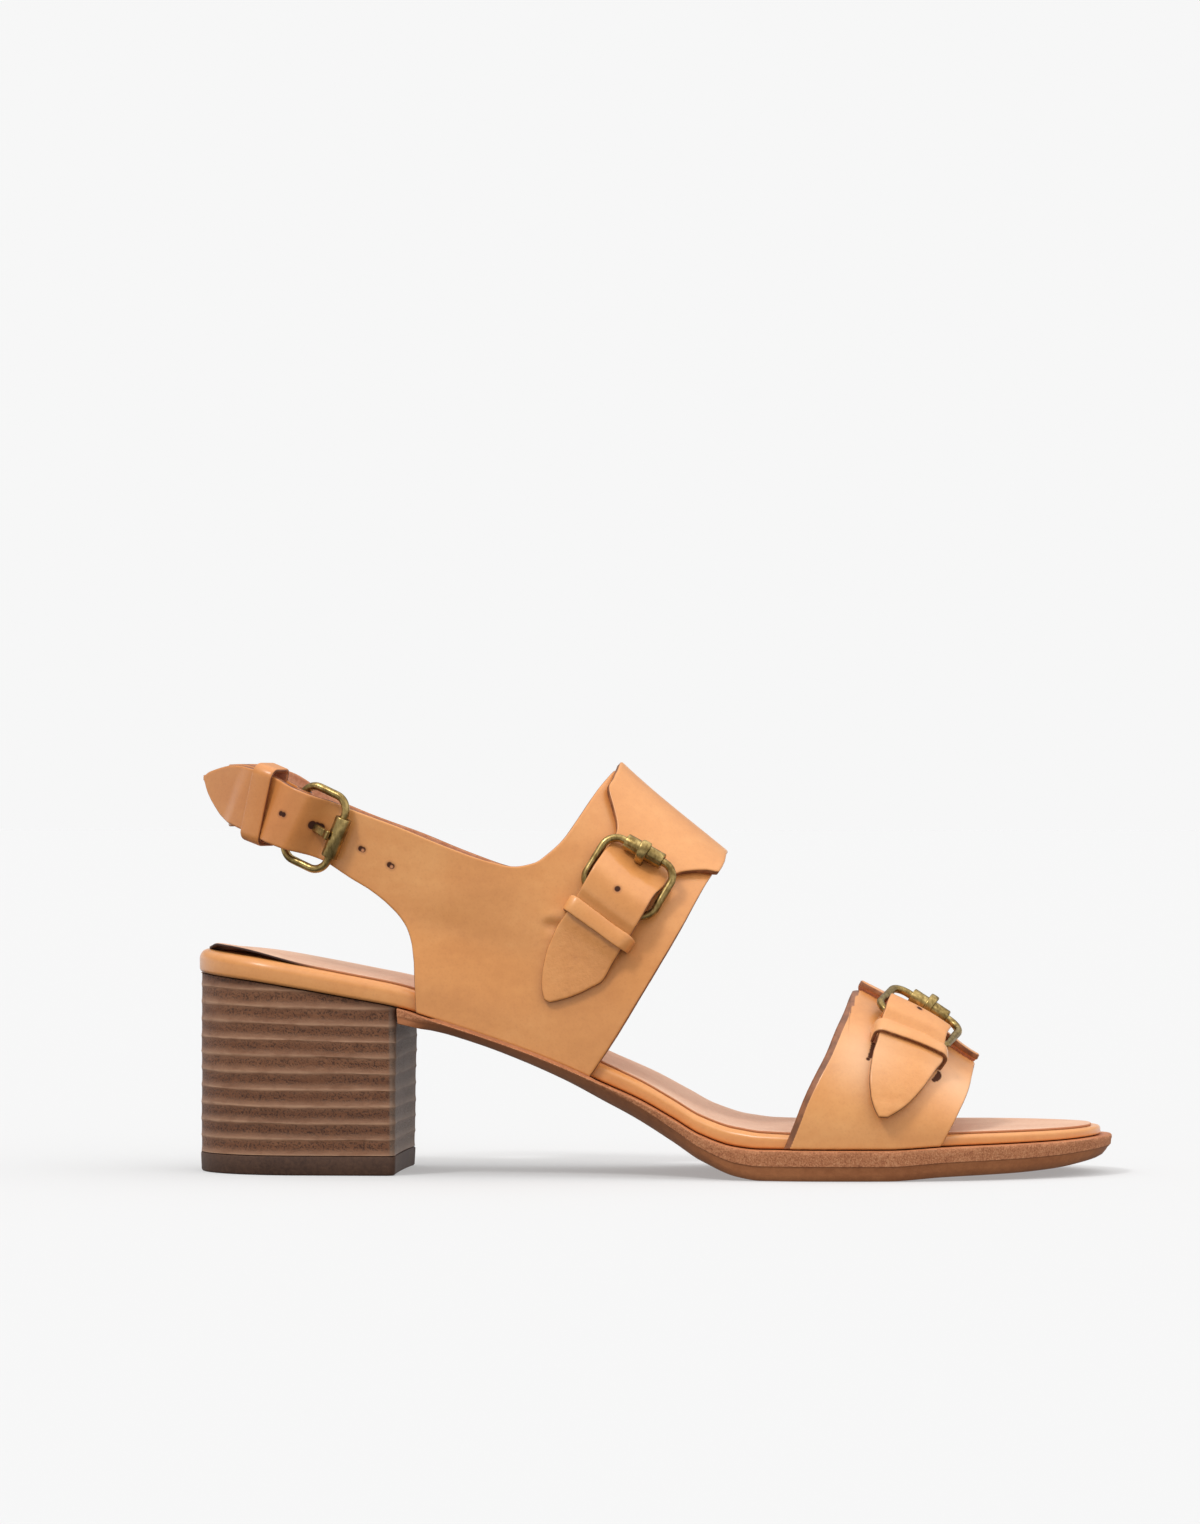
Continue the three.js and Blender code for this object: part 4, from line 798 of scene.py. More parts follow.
def toe_lateral():
    points, faces, marks = panel(LATERAL, toe_rails(.822, .8518), toe_edges, math.radians(3),
                                 unlifted, skive=toe_skive)
    return piece("toe_strap_lateral_leather", points, faces, ["toe_strap_lateral"], "tan_leather", **marks)


def toe_medial():
    body = panel(MEDIAL, toe_rails(.802, .8458), lambda x: toe_edges(x, TOE_INNER_FRONT, .802),
                 math.radians(14), unlifted)
    steps = np.unique(np.concatenate([
        np.linspace(-46, 10, 56), np.linspace(10, 81, 82), np.linspace(80.6, 81.6, 6)]))
    points, faces, marks = joined(body, tab(TOE_TAB, steps))
    return piece("toe_strap_medial_leather", points, faces, ["toe_strap_medial"], "tan_leather", **marks)


toe_lateral()
toe_medial()

# %% [markdown]
# Each buckle has its own axes: along the strap from the hidden bar to the roller, across the strap, and out
# of it. They come from where the bar and the roller sit on the foot, so a buckle stays square to its strap
# wherever the strap turns.

# %% Where the buckles sit
BUCKLES = {"instep": (INSTEP_TAB, 39, 56.3), "toe": (TOE_TAB, 6, 31)}
ROLLER_LIFT = 2.4 + FIT + ROLLER


def unit(v):
    v = np.asarray(v, float)
    return v / np.linalg.norm(v)


def lifted(side, rail, down, lift):
    return foot(side, rail, down) + foot_out(side, rail, down) * np.asarray(lift)[..., None]


def tab_seat(rows, down, lift):
    middle, half, _ = tab_reader(rows)
    x, reach, angle = SOLE_LENGTH * middle(down), half(down) * TAB_HALF, math.radians(down)
    across = foot(LATERAL, x + reach, angle) - foot(LATERAL, x - reach, angle)
    return lifted(LATERAL, x, angle, lift), across, foot_out(LATERAL, x, angle)


def sling_point(x, across, lift, slant=0.4):
    low, high = quarter_edges(np.asarray(x, float))
    lean = math.atan(slant)
    place = x + across * math.sin(lean)
    z = (low + high) / 2 + across * math.cos(lean)
    return lifted(LATERAL, rail_at(place), down_at(place, z), lift)


def sling_seat(at, lift):
    x = at * SOLE_LENGTH
    across = sling_point(x, -TAB_HALF, 0.0) - sling_point(x, TAB_HALF, 0.0)
    reach = sling_point(x + 1, 0.0, 0.0) - sling_point(x - 1, 0.0, 0.0)
    return sling_point(x, 0.0, lift), across, unit(np.cross(across, reach))


def buckle_axes(bar, roller):
    along = unit(roller[0] - bar[0])
    across = unit(bar[1]) + unit(roller[1])
    across = unit(across - along * (across @ along))
    out = np.cross(across, along)
    if out @ bar[2] < 0:
        across, out = -across, -out
    return bar[0], np.stack([across, along, out]), float(np.linalg.norm(roller[0] - bar[0]))


AXES = {name: buckle_axes(tab_seat(rows, bar, BAR_LIFT), tab_seat(rows, roller, ROLLER_LIFT))
        for name, (rows, roller, bar) in BUCKLES.items()}
AXES["sling"] = buckle_axes(sling_seat(.117, SLING_BAR), sling_seat(.166, FIT + ROLLER))
for name, (origin, _, length) in AXES.items():
    print(name, "buckle: bar at", origin.round(1), "and", round(length, 1), "mm to the roller")

# %% [markdown]
# The frame is one bent wire with round corners. It follows a path, so geometry nodes bend it: four straight
# edges become a curve, the corners are rounded, and a round profile runs along it that swells a little, as
# worn castings do. The roller is a sheet rolled into a tube round the frame's front bar, and the prong is a
# flat bar with an eye on the hidden bar and an end that laps over the roller. Both are rings of points.

# %% Wire frames, rollers and prongs
def placed(name, points):
    origin, axes, _ = AXES[name]
    return origin + np.asarray(points) @ axes


def wire_nodes():
    """Geometry nodes that turn a loop of straight edges into a bent wire with round corners."""
    tree = bpy.data.node_groups.new("bent_wire", "GeometryNodeTree")
    face = tree.interface
    face.new_socket("Path", in_out="INPUT", socket_type="NodeSocketGeometry")
    for label in ("Corner Radius", "Wire Radius", "Wear"):
        face.new_socket(label, in_out="INPUT", socket_type="NodeSocketFloat")
    face.new_socket("Metal", in_out="INPUT", socket_type="NodeSocketMaterial")
    face.new_socket("Wire", in_out="OUTPUT", socket_type="NodeSocketGeometry")

    def add(kind, inputs, **settings):
        node = tree.nodes.new(kind)
        for key, value in settings.items():
            setattr(node, key, value)
        for key, value in inputs.items():
            if isinstance(value, bpy.types.NodeSocket):
                tree.links.new(value, node.inputs[key])
            else:
                node.inputs[key].default_value = value
        return node.outputs[0]

    given = tree.nodes.new("NodeGroupInput").outputs
    line = add("GeometryNodeMeshToCurve", {"Mesh": given["Path"]})
    bent = add("GeometryNodeFilletCurve", {
        "Curve": line, "Radius": given["Corner Radius"], "Count": 10, "Limit Radius": True}, mode="POLY")
    even = add("GeometryNodeResampleCurve", {"Curve": bent, "Count": 200})
    cloud = add("ShaderNodeTexNoise", {"Scale": 160.0, "Detail": 2.0})
    swell = add("ShaderNodeMath", {0: cloud, 1: given["Wear"], 2: 1.0}, operation="MULTIPLY_ADD")
    profile = add("GeometryNodeCurvePrimitiveCircle", {"Resolution": 20, "Radius": given["Wire Radius"]})
    wire = add("GeometryNodeCurveToMesh", {"Curve": even, "Profile Curve": profile, "Scale": swell})
    soft = add("GeometryNodeSetShadeSmooth", {"Geometry": wire, "Shade Smooth": True})
    real = add("GeometryNodeRealizeInstances", {"Geometry": soft})
    metal = add("GeometryNodeSetMaterial", {"Geometry": real, "Material": given["Metal"]})
    tree.links.new(metal, tree.nodes.new("NodeGroupOutput").inputs[0])
    return tree


WIRE_NODES = wire_nodes()
WIRE_METAL = bpy.data.materials.new("wire_metal")  # stands in until the brass is made, further down


def wire_frame(name, half=10.45, corner=4.2):
    length = AXES[name][2]
    corners = placed(name, [(half, 0, 0), (half, length, 0), (-half, length, 0), (-half, 0, 0)])
    mesh = bpy.data.meshes.new("wire_path")
    mesh.from_pydata((corners - SHIFT) / 1000, [(0, 1), (1, 2), (2, 3), (3, 0)], [])
    guide = bpy.data.objects.new("wire_path", mesh)
    bpy.context.scene.collection.objects.link(guide)
    modifier = guide.modifiers.new("bend", "NODES")
    modifier.node_group = WIRE_NODES
    values = {"Corner Radius": corner / 1000, "Wire Radius": WIRE / 1000, "Wear": 0.05, "Metal": WIRE_METAL}
    for item in WIRE_NODES.interface.items_tree:
        if item.in_out == "INPUT" and item.name in values:
            modifier[item.identifier] = values[item.name]
    ready = guide.evaluated_get(bpy.context.evaluated_depsgraph_get())
    baked = bpy.data.meshes.new_from_object(ready)
    points = np.array([v.co for v in baked.vertices]) * 1000 + SHIFT
    faces = [list(face.vertices) for face in baked.polygons]
    guide.modifiers.clear()
    bpy.data.objects.remove(guide)
    for spent in (mesh, baked):
        bpy.data.meshes.remove(spent)
    print(name, "frame:", len(points), "points of wire")
    return piece(f"{name}_buckle_wire", points, faces, [f"{name}_buckle_frame"], "brass")


def roller(name):
    length = AXES[name][2]
    profile = [(1.35, -5.5), (1.7, -5.65), (2.05, -5.6), (2.2, -5.35), (2.22, 0), (2.2, 5.35), (2.05, 5.6),
               (1.7, 5.65), (1.35, 5.5), (1.35, 0)]
    sides = 48
    turn = np.linspace(0, 2 * np.pi, sides, endpoint=False)
    groove = 0.16 * np.exp(-(((turn - 2.2) / 0.09) ** 2))
    points = [np.stack([np.full(sides, x), length + np.cos(turn) * (r - groove * (r > 2)),
                        np.sin(turn) * (r - groove * (r > 2))], 1) for r, x in profile]
    return piece(f"{name}_buckle_roller_tube", placed(name, np.concatenate(points)),
                 ring_faces(len(profile), sides, closed=True), [f"{name}_buckle_roller"], "brass")


def strap_over(name):
    """The strap's upper face along the buckle's middle, seen in the buckle's own axes: way along, height."""
    if name == "sling":
        x = np.linspace(.112, .172, 30) * SOLE_LENGTH
        low, high = quarter_edges(x)
        points = sling_point(x, 0 * x, sling_lift(x, (low + high) / 2))
    else:
        rows, roller_at, bar_at = BUCKLES[name]
        down = np.linspace(bar_at + 6, roller_at - 3, 30)
        middle, _, lift = tab_reader(rows)
        points = lifted(LATERAL, SOLE_LENGTH * middle(down), np.radians(down), lift(down))
    origin, axes, _ = AXES[name]
    local = (points - origin) @ axes.T
    return local[:, 1], local[:, 2]


# How far before the roller each prong comes up, the angles between which it laps it, and its end's half width
PRONGS = {"instep": (3.1, 160, 46, 1.5), "toe": (3.1, 160, 62, 1.2), "sling": (6.6, 150, 112, 1.3)}


def prong(name):
    length = AXES[name][2]
    rise, first, last, wide = PRONGS[name]
    top = ROLLER + FIT + 0.6
    eye = WIRE + RUNNING_GAP + 0.55
    turn = np.linspace(math.radians(-200), math.radians(10), 18)
    ring_path = np.stack([np.cos(turn) * eye, np.sin(turn) * eye], 1)
    along, height = strap_over(name)
    strap_at = curve(np.column_stack([along, height])[np.argsort(along)])
    under = np.linspace(eye + 1.2, length - rise - 0.5, 10)
    under = np.stack([under, strap_at(under) - WALL - 0.9], 1)
    lap = np.linspace(math.radians(first), math.radians(last), 12)
    over = np.stack([length + np.cos(lap) * top, np.sin(lap) * top], 1)
    rising = np.linspace(length - rise, over[0, 0], 5)[:-1]
    start = float(strap_at(length - rise)) + 0.25
    rising = np.stack([rising, np.linspace(start, over[0, 1], 5)[:-1]], 1)
    path = np.concatenate([ring_path, under, rising, over])
    size = len(path) - 12
    width = np.concatenate([np.full(size, 1.15), np.linspace(1.15, wide, 9), [wide, wide * .95, wide * .8]])
    thick = np.concatenate([
        np.full(18, 0.55), np.full(size - 18, .7), np.linspace(.7, .62, 9), [.6, .55, .42]])
    ahead = np.gradient(path, axis=0)
    ahead /= np.linalg.norm(ahead, axis=1, keepdims=True)
    normal = np.stack([-ahead[:, 1], ahead[:, 0]], 1)
    around = np.linspace(0, 2 * np.pi, 20, endpoint=False)
    shape = np.stack([np.sign(np.cos(around)) * np.abs(np.cos(around)) ** 0.5,
                      np.sign(np.sin(around)) * np.abs(np.sin(around)) ** 0.5], 1)
    points = [np.column_stack([shape[:, 0] * w, p[0] + n[0] * shape[:, 1] * t, p[1] + n[1] * shape[:, 1] * t])
              for p, n, w, t in zip(path, normal, width, thick)]
    ends = [np.tile(points[0].mean(0), (20, 1)), np.tile(points[-1].mean(0), (20, 1))]
    points = [ends[0] + (points[0] - ends[0]) * 0.05, *points, ends[1] + (points[-1] - ends[1]) * 0.05]
    return piece(f"{name}_buckle_prong_bar", placed(name, np.concatenate(points)),
                 ring_faces(len(points), 20), [f"{name}_buckle_prong"], "brass")


for name in AXES:
    wire_frame(name)
    roller(name)
    prong(name)

# %% [markdown]
# A chape is a thin strip of leather folded round the hidden bar, and a keeper is a narrow loop that holds
# the tab down. Both are sheets whose long way runs round what they hold.

# %% Chapes and keepers
def chape(name):
    ring_size = WIRE + RUNNING_GAP + CHAPE_WALL / 2
    drop, length = {"instep": (0, 6.5), "toe": (0.7, 5.5), "sling": (1, 6.5)}[name]
    leg = {"instep": -ring_size, "toe": -ring_size, "sling": FIT - SLING_BAR + CHAPE_WALL / 2}[name]
    turn = np.linspace(math.pi - math.asin(np.clip(leg / ring_size, -1, 1)), -math.pi / 2 - 0.5, 30)
    path = np.stack([np.cos(turn) * ring_size, np.sin(turn) * ring_size], 1)
    tail = np.stack([np.linspace(-length, path[0][0] - 0.3, 8), np.linspace(leg - drop, leg, 8)], 1)
    path = np.concatenate([tail, path])
    ahead = np.gradient(path, axis=0)
    ahead /= np.linalg.norm(ahead, axis=1, keepdims=True)
    normal = np.stack([-ahead[:, 1], ahead[:, 0]], 1)
    across = (2 * spread(np.array([16.2]), 12)[0] - 1) * 8.1
    base = np.stack([np.broadcast_to(across, (len(path), len(across))),
                     np.repeat(path[:, :1], len(across), 1), np.repeat(path[:, 1:], len(across), 1)], -1)
    out = np.stack([0 * base[..., 0], np.repeat(normal[:, :1], len(across), 1),
                    np.repeat(normal[:, 1:], len(across), 1)], -1)
    points, faces, marks = sheet(base, out, 0.43, 0.86, rim=0.25)
    return piece(f"{name}_chape_strip", placed(name, points), faces, [f"{name}_chape"], "tan_leather",
                 **marks)


def keeper(name, point, half, low, high, reach, closed=False, wall=1.2, round_by=1.6):
    """A loop across the strap: a rounded box path seen along the strap, as wide as the keeper is."""
    turn = np.linspace(0, np.pi / 2, 8)
    corner = np.stack([half - round_by + round_by * np.sin(turn),
                       high - round_by + round_by * np.cos(turn)], 1)
    flat = np.stack([np.linspace(0, half - round_by, 14)[:-1], np.full(13, high)], 1)
    side = np.stack([np.full(5, half), np.linspace(high - round_by, low, 6)[1:]], 1)
    right = np.concatenate([flat, corner, side])
    if closed:
        under = np.stack([half - 0.8 + 0.8 * np.cos(turn), low - 0.8 * np.sin(turn)], 1)[1:]
        base_line = np.stack([np.linspace(half - 0.8, 0, 12)[1:], np.full(11, low - 0.8)], 1)
        right = np.concatenate([right, under, base_line])
        path = np.concatenate([right[::-1][:-1] * [-1, 1], right[:-1]])
    else:
        path = np.concatenate([right[::-1] * [-1, 1], right[1:]])
    share = 2 * spread(np.array([2.0 * reach[1]]), 6)[0] - 1
    a = np.repeat(path[:, :1], len(share), 1)
    lift = np.repeat(path[:, 1:], len(share), 1) + (0.25 * (1 - share**2))[None, :]
    base = point(reach[0] + share[None, :] * reach[1] + 0 * a, a, lift)
    ahead = np.roll(base, -1, 0) - np.roll(base, 1, 0) if closed else np.gradient(base, axis=0)
    wide = np.gradient(base, axis=1)
    out = np.cross(ahead, wide)
    out /= np.maximum(np.linalg.norm(out, axis=-1, keepdims=True), 1e-9)
    middle = base.reshape(-1, 3).mean(0)
    if np.einsum("ijk,ijk->", out, base - middle) < 0:
        out = -out
    points, faces, marks = sheet(base, out, wall, wall, rim=0.42, closed=closed)
    return piece(f"{name}_keeper_loop", points, faces, [f"{name}_keeper"], "tan_leather", **marks)


def tab_point(rows):
    middle, half, _ = tab_reader(rows)

    def point(down, across, lift):
        x = SOLE_LENGTH * middle(down) + across / TAB_HALF * half(down) * TAB_HALF
        return lifted(LATERAL, x, np.radians(down), lift)
    return point


for name in AXES:
    chape(name)
keeper("instep", tab_point(INSTEP_TAB), 8.9, FIT, 4.7, (63.2, 1.9))
keeper("toe", tab_point(TOE_TAB), 8.9, FIT, 4.7, (43, 3.1))
keeper("sling", lambda x, across, lift: sling_point(x, across, lift, 0.2), 9.4, -WALL - FIT, 4.3,
       (.0835 * SOLE_LENGTH, 2.3), closed=True)

# %% [markdown]
# Finishes are graphs of nodes. A small class holds a socket's value, so that sums read as Python, and one
# method makes every other node. Colours are written as a screen shows them and turned linear here.

# %% A way to write finishes
def linear(red, green, blue):
    parts = [c / 255 for c in (red, green, blue)]
    return (*[c / 12.92 if c <= 0.04045 else ((c + 0.055) / 1.055) ** 2.4 for c in parts], 1.0)


class Value:
    """One socket of a finish, which adds Math nodes when it is used in a sum."""

    def __init__(self, finish, socket):
        self.finish, self.socket = finish, socket

    def math(self, operation, *others, **more):
        return self.finish.node("ShaderNodeMath", dict(operation=operation, **more), {
            i: other for i, other in enumerate((self, *others))})

    def __add__(self, other):
        return self.math("ADD", other)

    def __mul__(self, other):
        return self.math("MULTIPLY", other)

    def __sub__(self, other):
        return self.math("SUBTRACT", other)

    def __pow__(self, other):
        return self.math("POWER", other)

    def least(self, other):
        return self.math("MINIMUM", other)

    def most(self, other):
        return self.math("MAXIMUM", other)

    def __rsub__(self, other):
        return self * -1 + other

    def clamp(self):
        return self.math("ADD", 0.0, use_clamp=True)

    __radd__, __rmul__ = __add__, __mul__

    def above(self, low, high):
        """0 below low, 1 over high, smooth between."""
        return self.finish.node("ShaderNodeMapRange", dict(interpolation_type="SMOOTHSTEP"), {
            0: self, 1: low, 2: high, 3: 0.0, 4: 1.0})


class Finish:
    def __init__(self, name):
        self.material = bpy.data.materials.new(name)
        self.material.use_nodes = True
        self.tree = self.material.node_tree
        self.tree.nodes.clear()
        self.shader = self.tree.nodes.new("ShaderNodeBsdfPrincipled")
        output = self.tree.nodes.new("ShaderNodeOutputMaterial")
        self.tree.links.new(self.shader.outputs[0], output.inputs[0])
        self.place = self.node("ShaderNodeTexCoord", {}, {}, "Object")

    def feed(self, socket, value):
        if isinstance(value, Value):
            self.tree.links.new(value.socket, socket)
        else:
            socket.default_value = value

    def node(self, kind, settings, inputs, output=0):
        made = self.tree.nodes.new(kind)
        for key, value in settings.items():
            if key == "stops":
                ramp = made.color_ramp
                while len(ramp.elements) < len(value):
                    ramp.elements.new(0.5)
                for element, (position, color) in zip(ramp.elements, value):
                    element.position, element.color = position, color
            else:
                setattr(made, key, value)
        for key, value in inputs.items():
            self.feed(made.inputs[key], value)
        return Value(self, made.outputs[output])

    def noise(self, scale, detail=3.0, rough=0.5, where=None, **more):
        """Cloudy values round one half; scale counts per metre."""
        return self.node("ShaderNodeTexNoise", {}, {
            "Vector": where or self.place, "Scale": scale, "Detail": detail, "Roughness": rough, **more})

    def cells(self, scale):
        return self.node("ShaderNodeTexVoronoi", {}, {"Vector": self.place, "Scale": scale}, "Distance")

    def stretched(self, x, y, z):
        return self.node("ShaderNodeMapping", {}, {"Vector": self.place, "Scale": (x, y, z)})

    def mark(self, name):
        return self.node("ShaderNodeAttribute", dict(attribute_name=name), {}, "Fac")

    def blend(self, share, one, other, kind="MIX"):
        return self.node("ShaderNodeMix", dict(data_type="RGBA", blend_type=kind), {
            0: share, 6: one, 7: other}, 2)

    def ball(self, spot, size, soft=0.25):
        """1 inside a ball round a spot of the shoe, in millimetres, 0 outside it."""
        spot = (np.array(spot) - SHIFT) / 1000
        away = self.node("ShaderNodeVectorMath", dict(operation="DISTANCE"), {
            0: self.place, 1: tuple(spot)}, "Value")
        return 1 - away.above((size - soft) / 1000, (size + soft) / 1000)

    def bump(self, height, strength, distance=0.001, under=None):
        inputs = {"Height": height, "Strength": strength, "Distance": distance}
        if under is not None:
            inputs["Normal"] = under
        return self.node("ShaderNodeBump", {}, inputs)

    def show(self, **inputs):
        for key, value in inputs.items():
            self.feed(self.shader.inputs[key.replace("_", " ").title().replace("Ior", "IOR")], value)
        return self.material


print("A mid grey on screen, linear:", round(linear(128, 128, 128)[0], 3))

# %% [markdown]
# The upper is vegetable-tanned calf with a thin glaze. Its tone drifts from place to place, darkens at cuts
# where the edge is burnished, and the flesh side is a redder suede. Fine pores and hair lines show in the
# gloss more than in the colour. The punched holes are short wells painted dark as the shade inside them,
# marked by their places on the shoe, and the slots' ends are painted the same way. A painted highlight lies
# on the lower lip of each spare hole, a painted sheen on the outer toe band, and painted shade on the sling's
# tip.

# %% Leather of the upper
HOLES, SPARE, SLOTS, TIPS, PAINTED_SHADE_SPOTS, PAINTED_SHEEN_SPOTS = [], [], [], [], [], []


def hole_on(point, size):
    HOLES.append((np.asarray(point, float), size))


def union(masks):
    whole = masks[0]
    for mask in masks[1:]:
        whole = whole.most(mask)
    return whole


def upper_leather():
    f = Finish("tan_glazed_leather")
    cut, inside = f.mark("cut"), f.mark("inside")
    cloud, fine = f.noise(26, 4, 0.55), f.noise(420, 3, 0.6)
    streak = f.noise(60, 4, 0.6, f.stretched(1, 1, 2.4))
    tone = f.node("ShaderNodeValToRGB", dict(stops=[
        (0.30, linear(215, 140, 74)), (0.5, linear(228, 154, 86)), (0.70, linear(238, 169, 101))]), {
            0: cloud * 0.5 + streak * 0.32 + fine * 0.18})
    grain = f.cells(1150)
    tone = f.blend(f.noise(150, 5, 0.7).above(0.60, 0.74) * 0.22, tone, linear(196, 118, 66))
    tone = f.blend((1 - grain.above(0.1, 0.5)) * 0.10, tone, linear(190, 112, 62))
    # painted sheen: a lighter patch where the light falls on the outer toe band
    painted_sheen = union([f.ball(spot, size, 8) for spot, size in PAINTED_SHEEN_SPOTS])
    tone = f.blend(painted_sheen * 0.45, tone, linear(250, 208, 168))
    edge = f.blend(f.noise(300, 3).above(0.35, 0.65), linear(96, 50, 28), linear(140, 82, 50))
    flesh = f.blend(f.noise(500, 4, 0.7).above(0.35, 0.65), linear(186, 122, 88), linear(208, 148, 114))
    tone = f.blend(cut.above(0.55, 0.95) * 0.9, tone, edge)
    tone = f.blend(inside * (1 - cut.above(0.4, 0.8)), tone, flesh)
    skin = 1 - inside
    # painted shade: the holes' wells and the slots' ends are painted dark as the shade inside them; rims is a
    # softer darker ring round each hole
    wells = union([f.ball(spot, size, 0.16) for spot, size in HOLES])
    rims = union([f.ball(spot, size + 0.45, 0.4) for spot, size in HOLES])
    # painted highlight on the lower lip of each spare hole
    painted_lip_highlight = union([f.ball(spot + np.array([0.25, 0, -0.3]), 0.42, 0.22) for spot in SPARE])
    slots = union([f.ball(spot, size, 0.18) for spot, size in SLOTS])
    tone = f.blend(rims * 0.45, tone, linear(170, 98, 52))
    tone = f.blend(slots * skin, tone, linear(84, 44, 22))
    tone = f.blend(wells * skin, tone, linear(70, 36, 18))
    tone = f.blend(painted_lip_highlight * skin * 0.75, tone, linear(232, 158, 112))
    dark = wells.most(slots)
    # painted shade: the sling's tip is darkened where it turns away from the light
    brass_wear_and_leather_shade = union([f.ball(spot, size, 10) for spot, size in PAINTED_SHADE_SPOTS])
    tone = f.blend(brass_wear_and_leather_shade * 0.75, tone, linear(238, 218, 196), "MULTIPLY")
    rough = union([f.ball(spot, size, 3.5) for spot, size in TIPS]) * skin
    height = (fine * 0.22 + grain * 0.12 + f.noise(70, 3) * 0.8 - dark * 3
              + rough * f.noise(620, 4, 0.65) * 2.8)
    normal = f.bump(height, 0.27, 0.00035)
    gloss = 0.34 + cloud * 0.10 + fine * 0.06 + cut * 0.15 + inside * 0.4 + dark * 0.5 + rough * 0.1
    glaze = 0.42 * skin * (1 - dark)
    return f.show(base_color=tone, roughness=gloss.clamp(), normal=normal, coat_weight=glaze.clamp(),
                  coat_roughness=0.22, specular_ior_level=0.45)


print("The middle tan, linear:", [round(part, 3) for part in linear(228, 154, 86)])

# %% [markdown]
# The lining under the foot is a thin pale pigskin, matt, with a darker cut edge; at the heel, where the edge
# curls up, it is painted nearly black as the shade in the gap under the curl. The outsole's leather is
# roughed to a speckled nap along the upper half of its edge, and burnished below.

# %% Sock, outsole, heel and rubber
def sock_leather():
    f = Finish("pale_lining_leather")
    cut = f.mark("cut")
    cloud, fine = f.noise(45, 4, 0.6), f.noise(900, 3, 0.6)
    tone = f.node("ShaderNodeValToRGB", dict(stops=[
        (0.35, linear(216, 168, 138)), (0.65, linear(234, 194, 166))]), {0: cloud * 0.6 + fine * 0.4})
    tone = f.blend((1 - f.cells(1300).above(0.1, 0.3)) * 0.5, tone, linear(198, 146, 116))
    # the cut edge keeps its own darker brown ahead; at the heel it is painted nearly black, as the shade in
    # the gap under the curled edge
    fore = f.node("ShaderNodeSeparateXYZ", {}, {0: f.place}, "X").above(-0.097, -0.084)
    edge = f.blend(fore, linear(58, 30, 20), linear(188, 122, 80))
    tone = f.blend(cut.above(0.3, 0.9), tone, edge)
    return f.show(base_color=tone, roughness=0.62 + fine * 0.1, normal=f.bump(fine, 0.2, 0.0003))


def sole_leather():
    f = Finish("sole_edge_leather")
    rough = f.mark("rough")
    grit, coarse, cloud = f.noise(2100, 4, 0.75), f.noise(520, 4, 0.7), f.noise(60, 3)
    smooth_tone = f.node("ShaderNodeValToRGB", dict(stops=[
        (0.35, linear(172, 104, 62)), (0.65, linear(202, 130, 82))]), {0: cloud * 0.5 + coarse * 0.5})
    nap = f.node("ShaderNodeValToRGB", dict(stops=[
        (0.36, linear(146, 86, 54)), (0.5, linear(190, 122, 80)), (0.68, linear(222, 164, 120))]), {
            0: grit * 0.75 + coarse * 0.25})
    tone = f.blend(rough.above(0.2, 0.8), smooth_tone, nap)
    height = grit * rough * 0.7 + coarse * 0.25
    return f.show(base_color=tone, roughness=(0.45 + rough * 0.35 + coarse * 0.1).clamp(),
                  normal=f.bump(height, 0.5, 0.0006))


def stack_leather():
    f = Finish("stacked_heel_leather")
    glue, lift = f.mark("glue"), f.mark("lift")
    layers = f.stretched(1, 1, 3)
    fibre, grit = f.noise(220, 5, 0.7, layers), f.noise(1500, 4, 0.7)
    tone = f.node("ShaderNodeValToRGB", dict(stops=[
        (0.3, linear(88, 52, 33)), (0.5, linear(122, 77, 50)), (0.72, linear(152, 104, 72))]), {
            0: fibre * 0.4 + grit * 0.3 + lift * 0.16 + 0.07})
    pores = f.noise(1900, 3, 0.6).above(0.50, 0.60) * (1 - glue.above(0.1, 0.55))
    pores = pores * f.noise(60, 3).above(0.25, 0.5)
    tone = f.blend(pores * 0.7, tone, linear(44, 24, 16))
    patchy = 0.45 + 0.4 * f.noise(140, 4, 0.6, layers).above(0.35, 0.6)
    # pale glue lines: partly the glue's own colour, partly a painted highlight on the ridges
    tone = f.blend(glue ** 1.3 * patchy, tone, linear(190, 148, 118))
    breast = f.node("ShaderNodeSeparateXYZ", {}, {0: f.place}, "X").above(-0.0688, -0.0680)
    tone = f.blend(breast * (0.35 + 0.3 * fibre), tone, linear(136, 122, 108))
    height = fibre * 0.5 + grit * 0.5 - pores * 1.2
    return f.show(base_color=tone, roughness=(0.46 + grit * 0.22).clamp(), normal=f.bump(height, 0.4, 0.0004),
                  specular_ior_level=0.35)


def lift_rubber():
    f = Finish("top_lift_rubber_matt")
    grit = f.noise(900, 4, 0.7)
    tone = f.node("ShaderNodeValToRGB", dict(stops=[
        (0.35, linear(66, 42, 30)), (0.65, linear(96, 66, 48))]), {0: grit * 0.6 + f.noise(60, 3) * 0.4})
    return f.show(base_color=tone, roughness=0.62 + grit * 0.1, normal=f.bump(grit, 0.3, 0.0004))


FINISHES = {
    "sock_leather": sock_leather(), "sole_leather": sole_leather(), "stacked_leather": stack_leather(),
    "top_lift": lift_rubber(),
}
print("Finishes so far:", *FINISHES)

# %% [markdown]
# Antique brass is plated, darkened, and rubbed back, so that what stands proud is bright and what lies low
# stays brown. Two sizes of cloud stand in for that rubbing.

